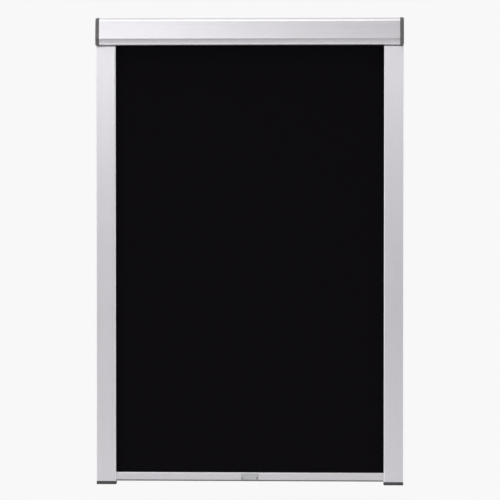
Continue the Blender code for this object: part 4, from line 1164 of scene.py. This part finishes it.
FELT = grey_felt("grey_felt"), "felt"
pad = box_corners((pocket_middle - PAD_HALF, PAD_BACK), (pocket_middle + PAD_HALF, PAD_FRONT), 0.5)
pad_ends = (brake_up - BRAKE_HALF_HEIGHT, brake_up + BRAKE_HALF_HEIGHT)
leaf = []
for step in range(LEAF_STEPS + 1):
    way = 2 * step / LEAF_STEPS - 1
    leaf.append((LEAF_CROWN + (LEAF_FLOOR - LEAF_CROWN) * way**2, brake_up + BRAKE_HALF_HEIGHT * way, 0))
leaf += [(forward + LEAF_THICKNESS, up, 0) for forward, up, _ in reversed(leaf)]
for side, hand in SIDES:
    felt_block = skinned("felt_block_" + hand, run(pad, in_slider(side), *pad_ends, 0.4))
    fit(felt_block, FELT, "bar", "friction_pad_" + hand)
    middle_x = side * (rail_inner + pocket_middle)
    leaf_rings = run(leaf, in_bar, middle_x - LEAF_HALF_WIDTH, middle_x + LEAF_HALF_WIDTH, 0.08)
    leaf_spring = skinned("leaf_spring_" + hand, leaf_rings)
    fit(leaf_spring, STEEL, "bar", "friction_spring_" + hand)


# Studio
# The blind hangs over a plain pale floor in front of a white backdrop. Soft boxes light it from above,
# from high on the left, from the front and from both sides. The camera stands where the photograph
# was taken.

FLOOR_UP = -1.25
FLOOR_RADIUS = 2.4
WHITE = 0.939
DIM = 0.1
MIDDLE = (0, 0, -0.45)
CAMERA_PLACE = (0.1934, -5.1087, -0.3229)
CAMERA_TILT = -0.02214
CAMERA_TURN = 0.0378
LENS = 183.47


def pale_floor(name):
    """Plain pale matt floor, faintly mottled, that fades out at its rim."""
    material, shader = new_finish(name, Specular_IOR_Level=0.1)
    mottle = speckle(material, (4.0,) * 3, 5.0)
    dress(material, shader, mottle, ((0.76, 0.76, 0.765), (0.8, 0.8, 0.8)), (0.8, 0.95))
    place = add(material, "TexCoord").outputs["Object"]
    away = add(material, "VectorMath", {0: place}, operation="LENGTH").outputs["Value"]
    fading = between(material, away, 1, 0, FLOOR_RADIUS / 2, FLOOR_RADIUS)
    material.node_tree.links.new(fading, shader.inputs["Alpha"])
    return material


def soft_light(name, place, target, size, power):
    """A large soft box that faces target."""
    light = bpy.data.lights.new(name, "AREA")
    light.shape = "RECTANGLE"
    light.size, light.size_y = size
    light.energy = power
    lamp = bpy.data.objects.new(name, light)
    lamp.location = place
    lamp.rotation_euler = (Vector(target) - Vector(place)).to_track_quat("-Z", "Y").to_euler()
    lamp.visible_camera = False
    scene.collection.objects.link(lamp)


scene = bpy.context.scene
scene.view_settings.view_transform = "Standard"

shape = bmesh.new()
bmesh.ops.create_circle(shape, cap_ends=True, segments=96, radius=FLOOR_RADIUS)
floor = linked("floor", shape)
floor.location.z = FLOOR_UP
floor.data.materials.append(pale_floor("pale_floor"))

soft_light("over", (-0.8, -1.8, 3.0), MIDDLE, (3.6, 2.8), 54)
soft_light("above", (-0.9, -0.75, 3.8), (-0.9, -0.75, 0), (3.2, 0.7), 6)
soft_light("high_left", (-1.3, -5.6, 1.8), (-1.3, 0, 1.8), (1.3, 1.1), 18.3)
soft_light("front", (-0.4, -5.6, 0.7), (-0.4, 0, 0.7), (2.75, 1.1), 24)
soft_light("low", (0, -5.6, -1.6), (0, 0, -1.6), (6.5, 1.1), 21.1)
soft_light("left_wall", (-3.0, -2.0, 0), (0, -2.0, 0), (4.0, 3.0), 58.4)
soft_light("right_wall", (3.0, -2.0, 0), (0, -2.0, 0), (4.0, 3.0), 50)

world = bpy.data.worlds.new("studio")
scene.world = world
world.use_nodes = True
heading = add(world, "SeparateXYZ", {0: add(world, "TexCoord").outputs["Generated"]}).outputs["Y"]
behind = between(world, heading, 0, 1, -0.1, 0.15)
seen = add(world, "LightPath").outputs["Is Camera Ray"]
white = add(world, "Math", {0: behind, 1: seen}, operation="MAXIMUM").outputs[0]
backdrop = world.node_tree.nodes["Background"]
world.node_tree.links.new(between(world, white, DIM, WHITE, 0, 1), backdrop.inputs["Strength"])
backdrop.inputs["Color"].default_value = (1, 1, 1, 1)

camera_data = bpy.data.cameras.new("camera")
camera_data.lens = LENS
camera = bpy.data.objects.new("camera", camera_data)
camera.location = CAMERA_PLACE
camera.rotation_euler = (math.pi / 2 + CAMERA_TILT, 0, CAMERA_TURN)
scene.collection.objects.link(camera)
scene.camera = camera
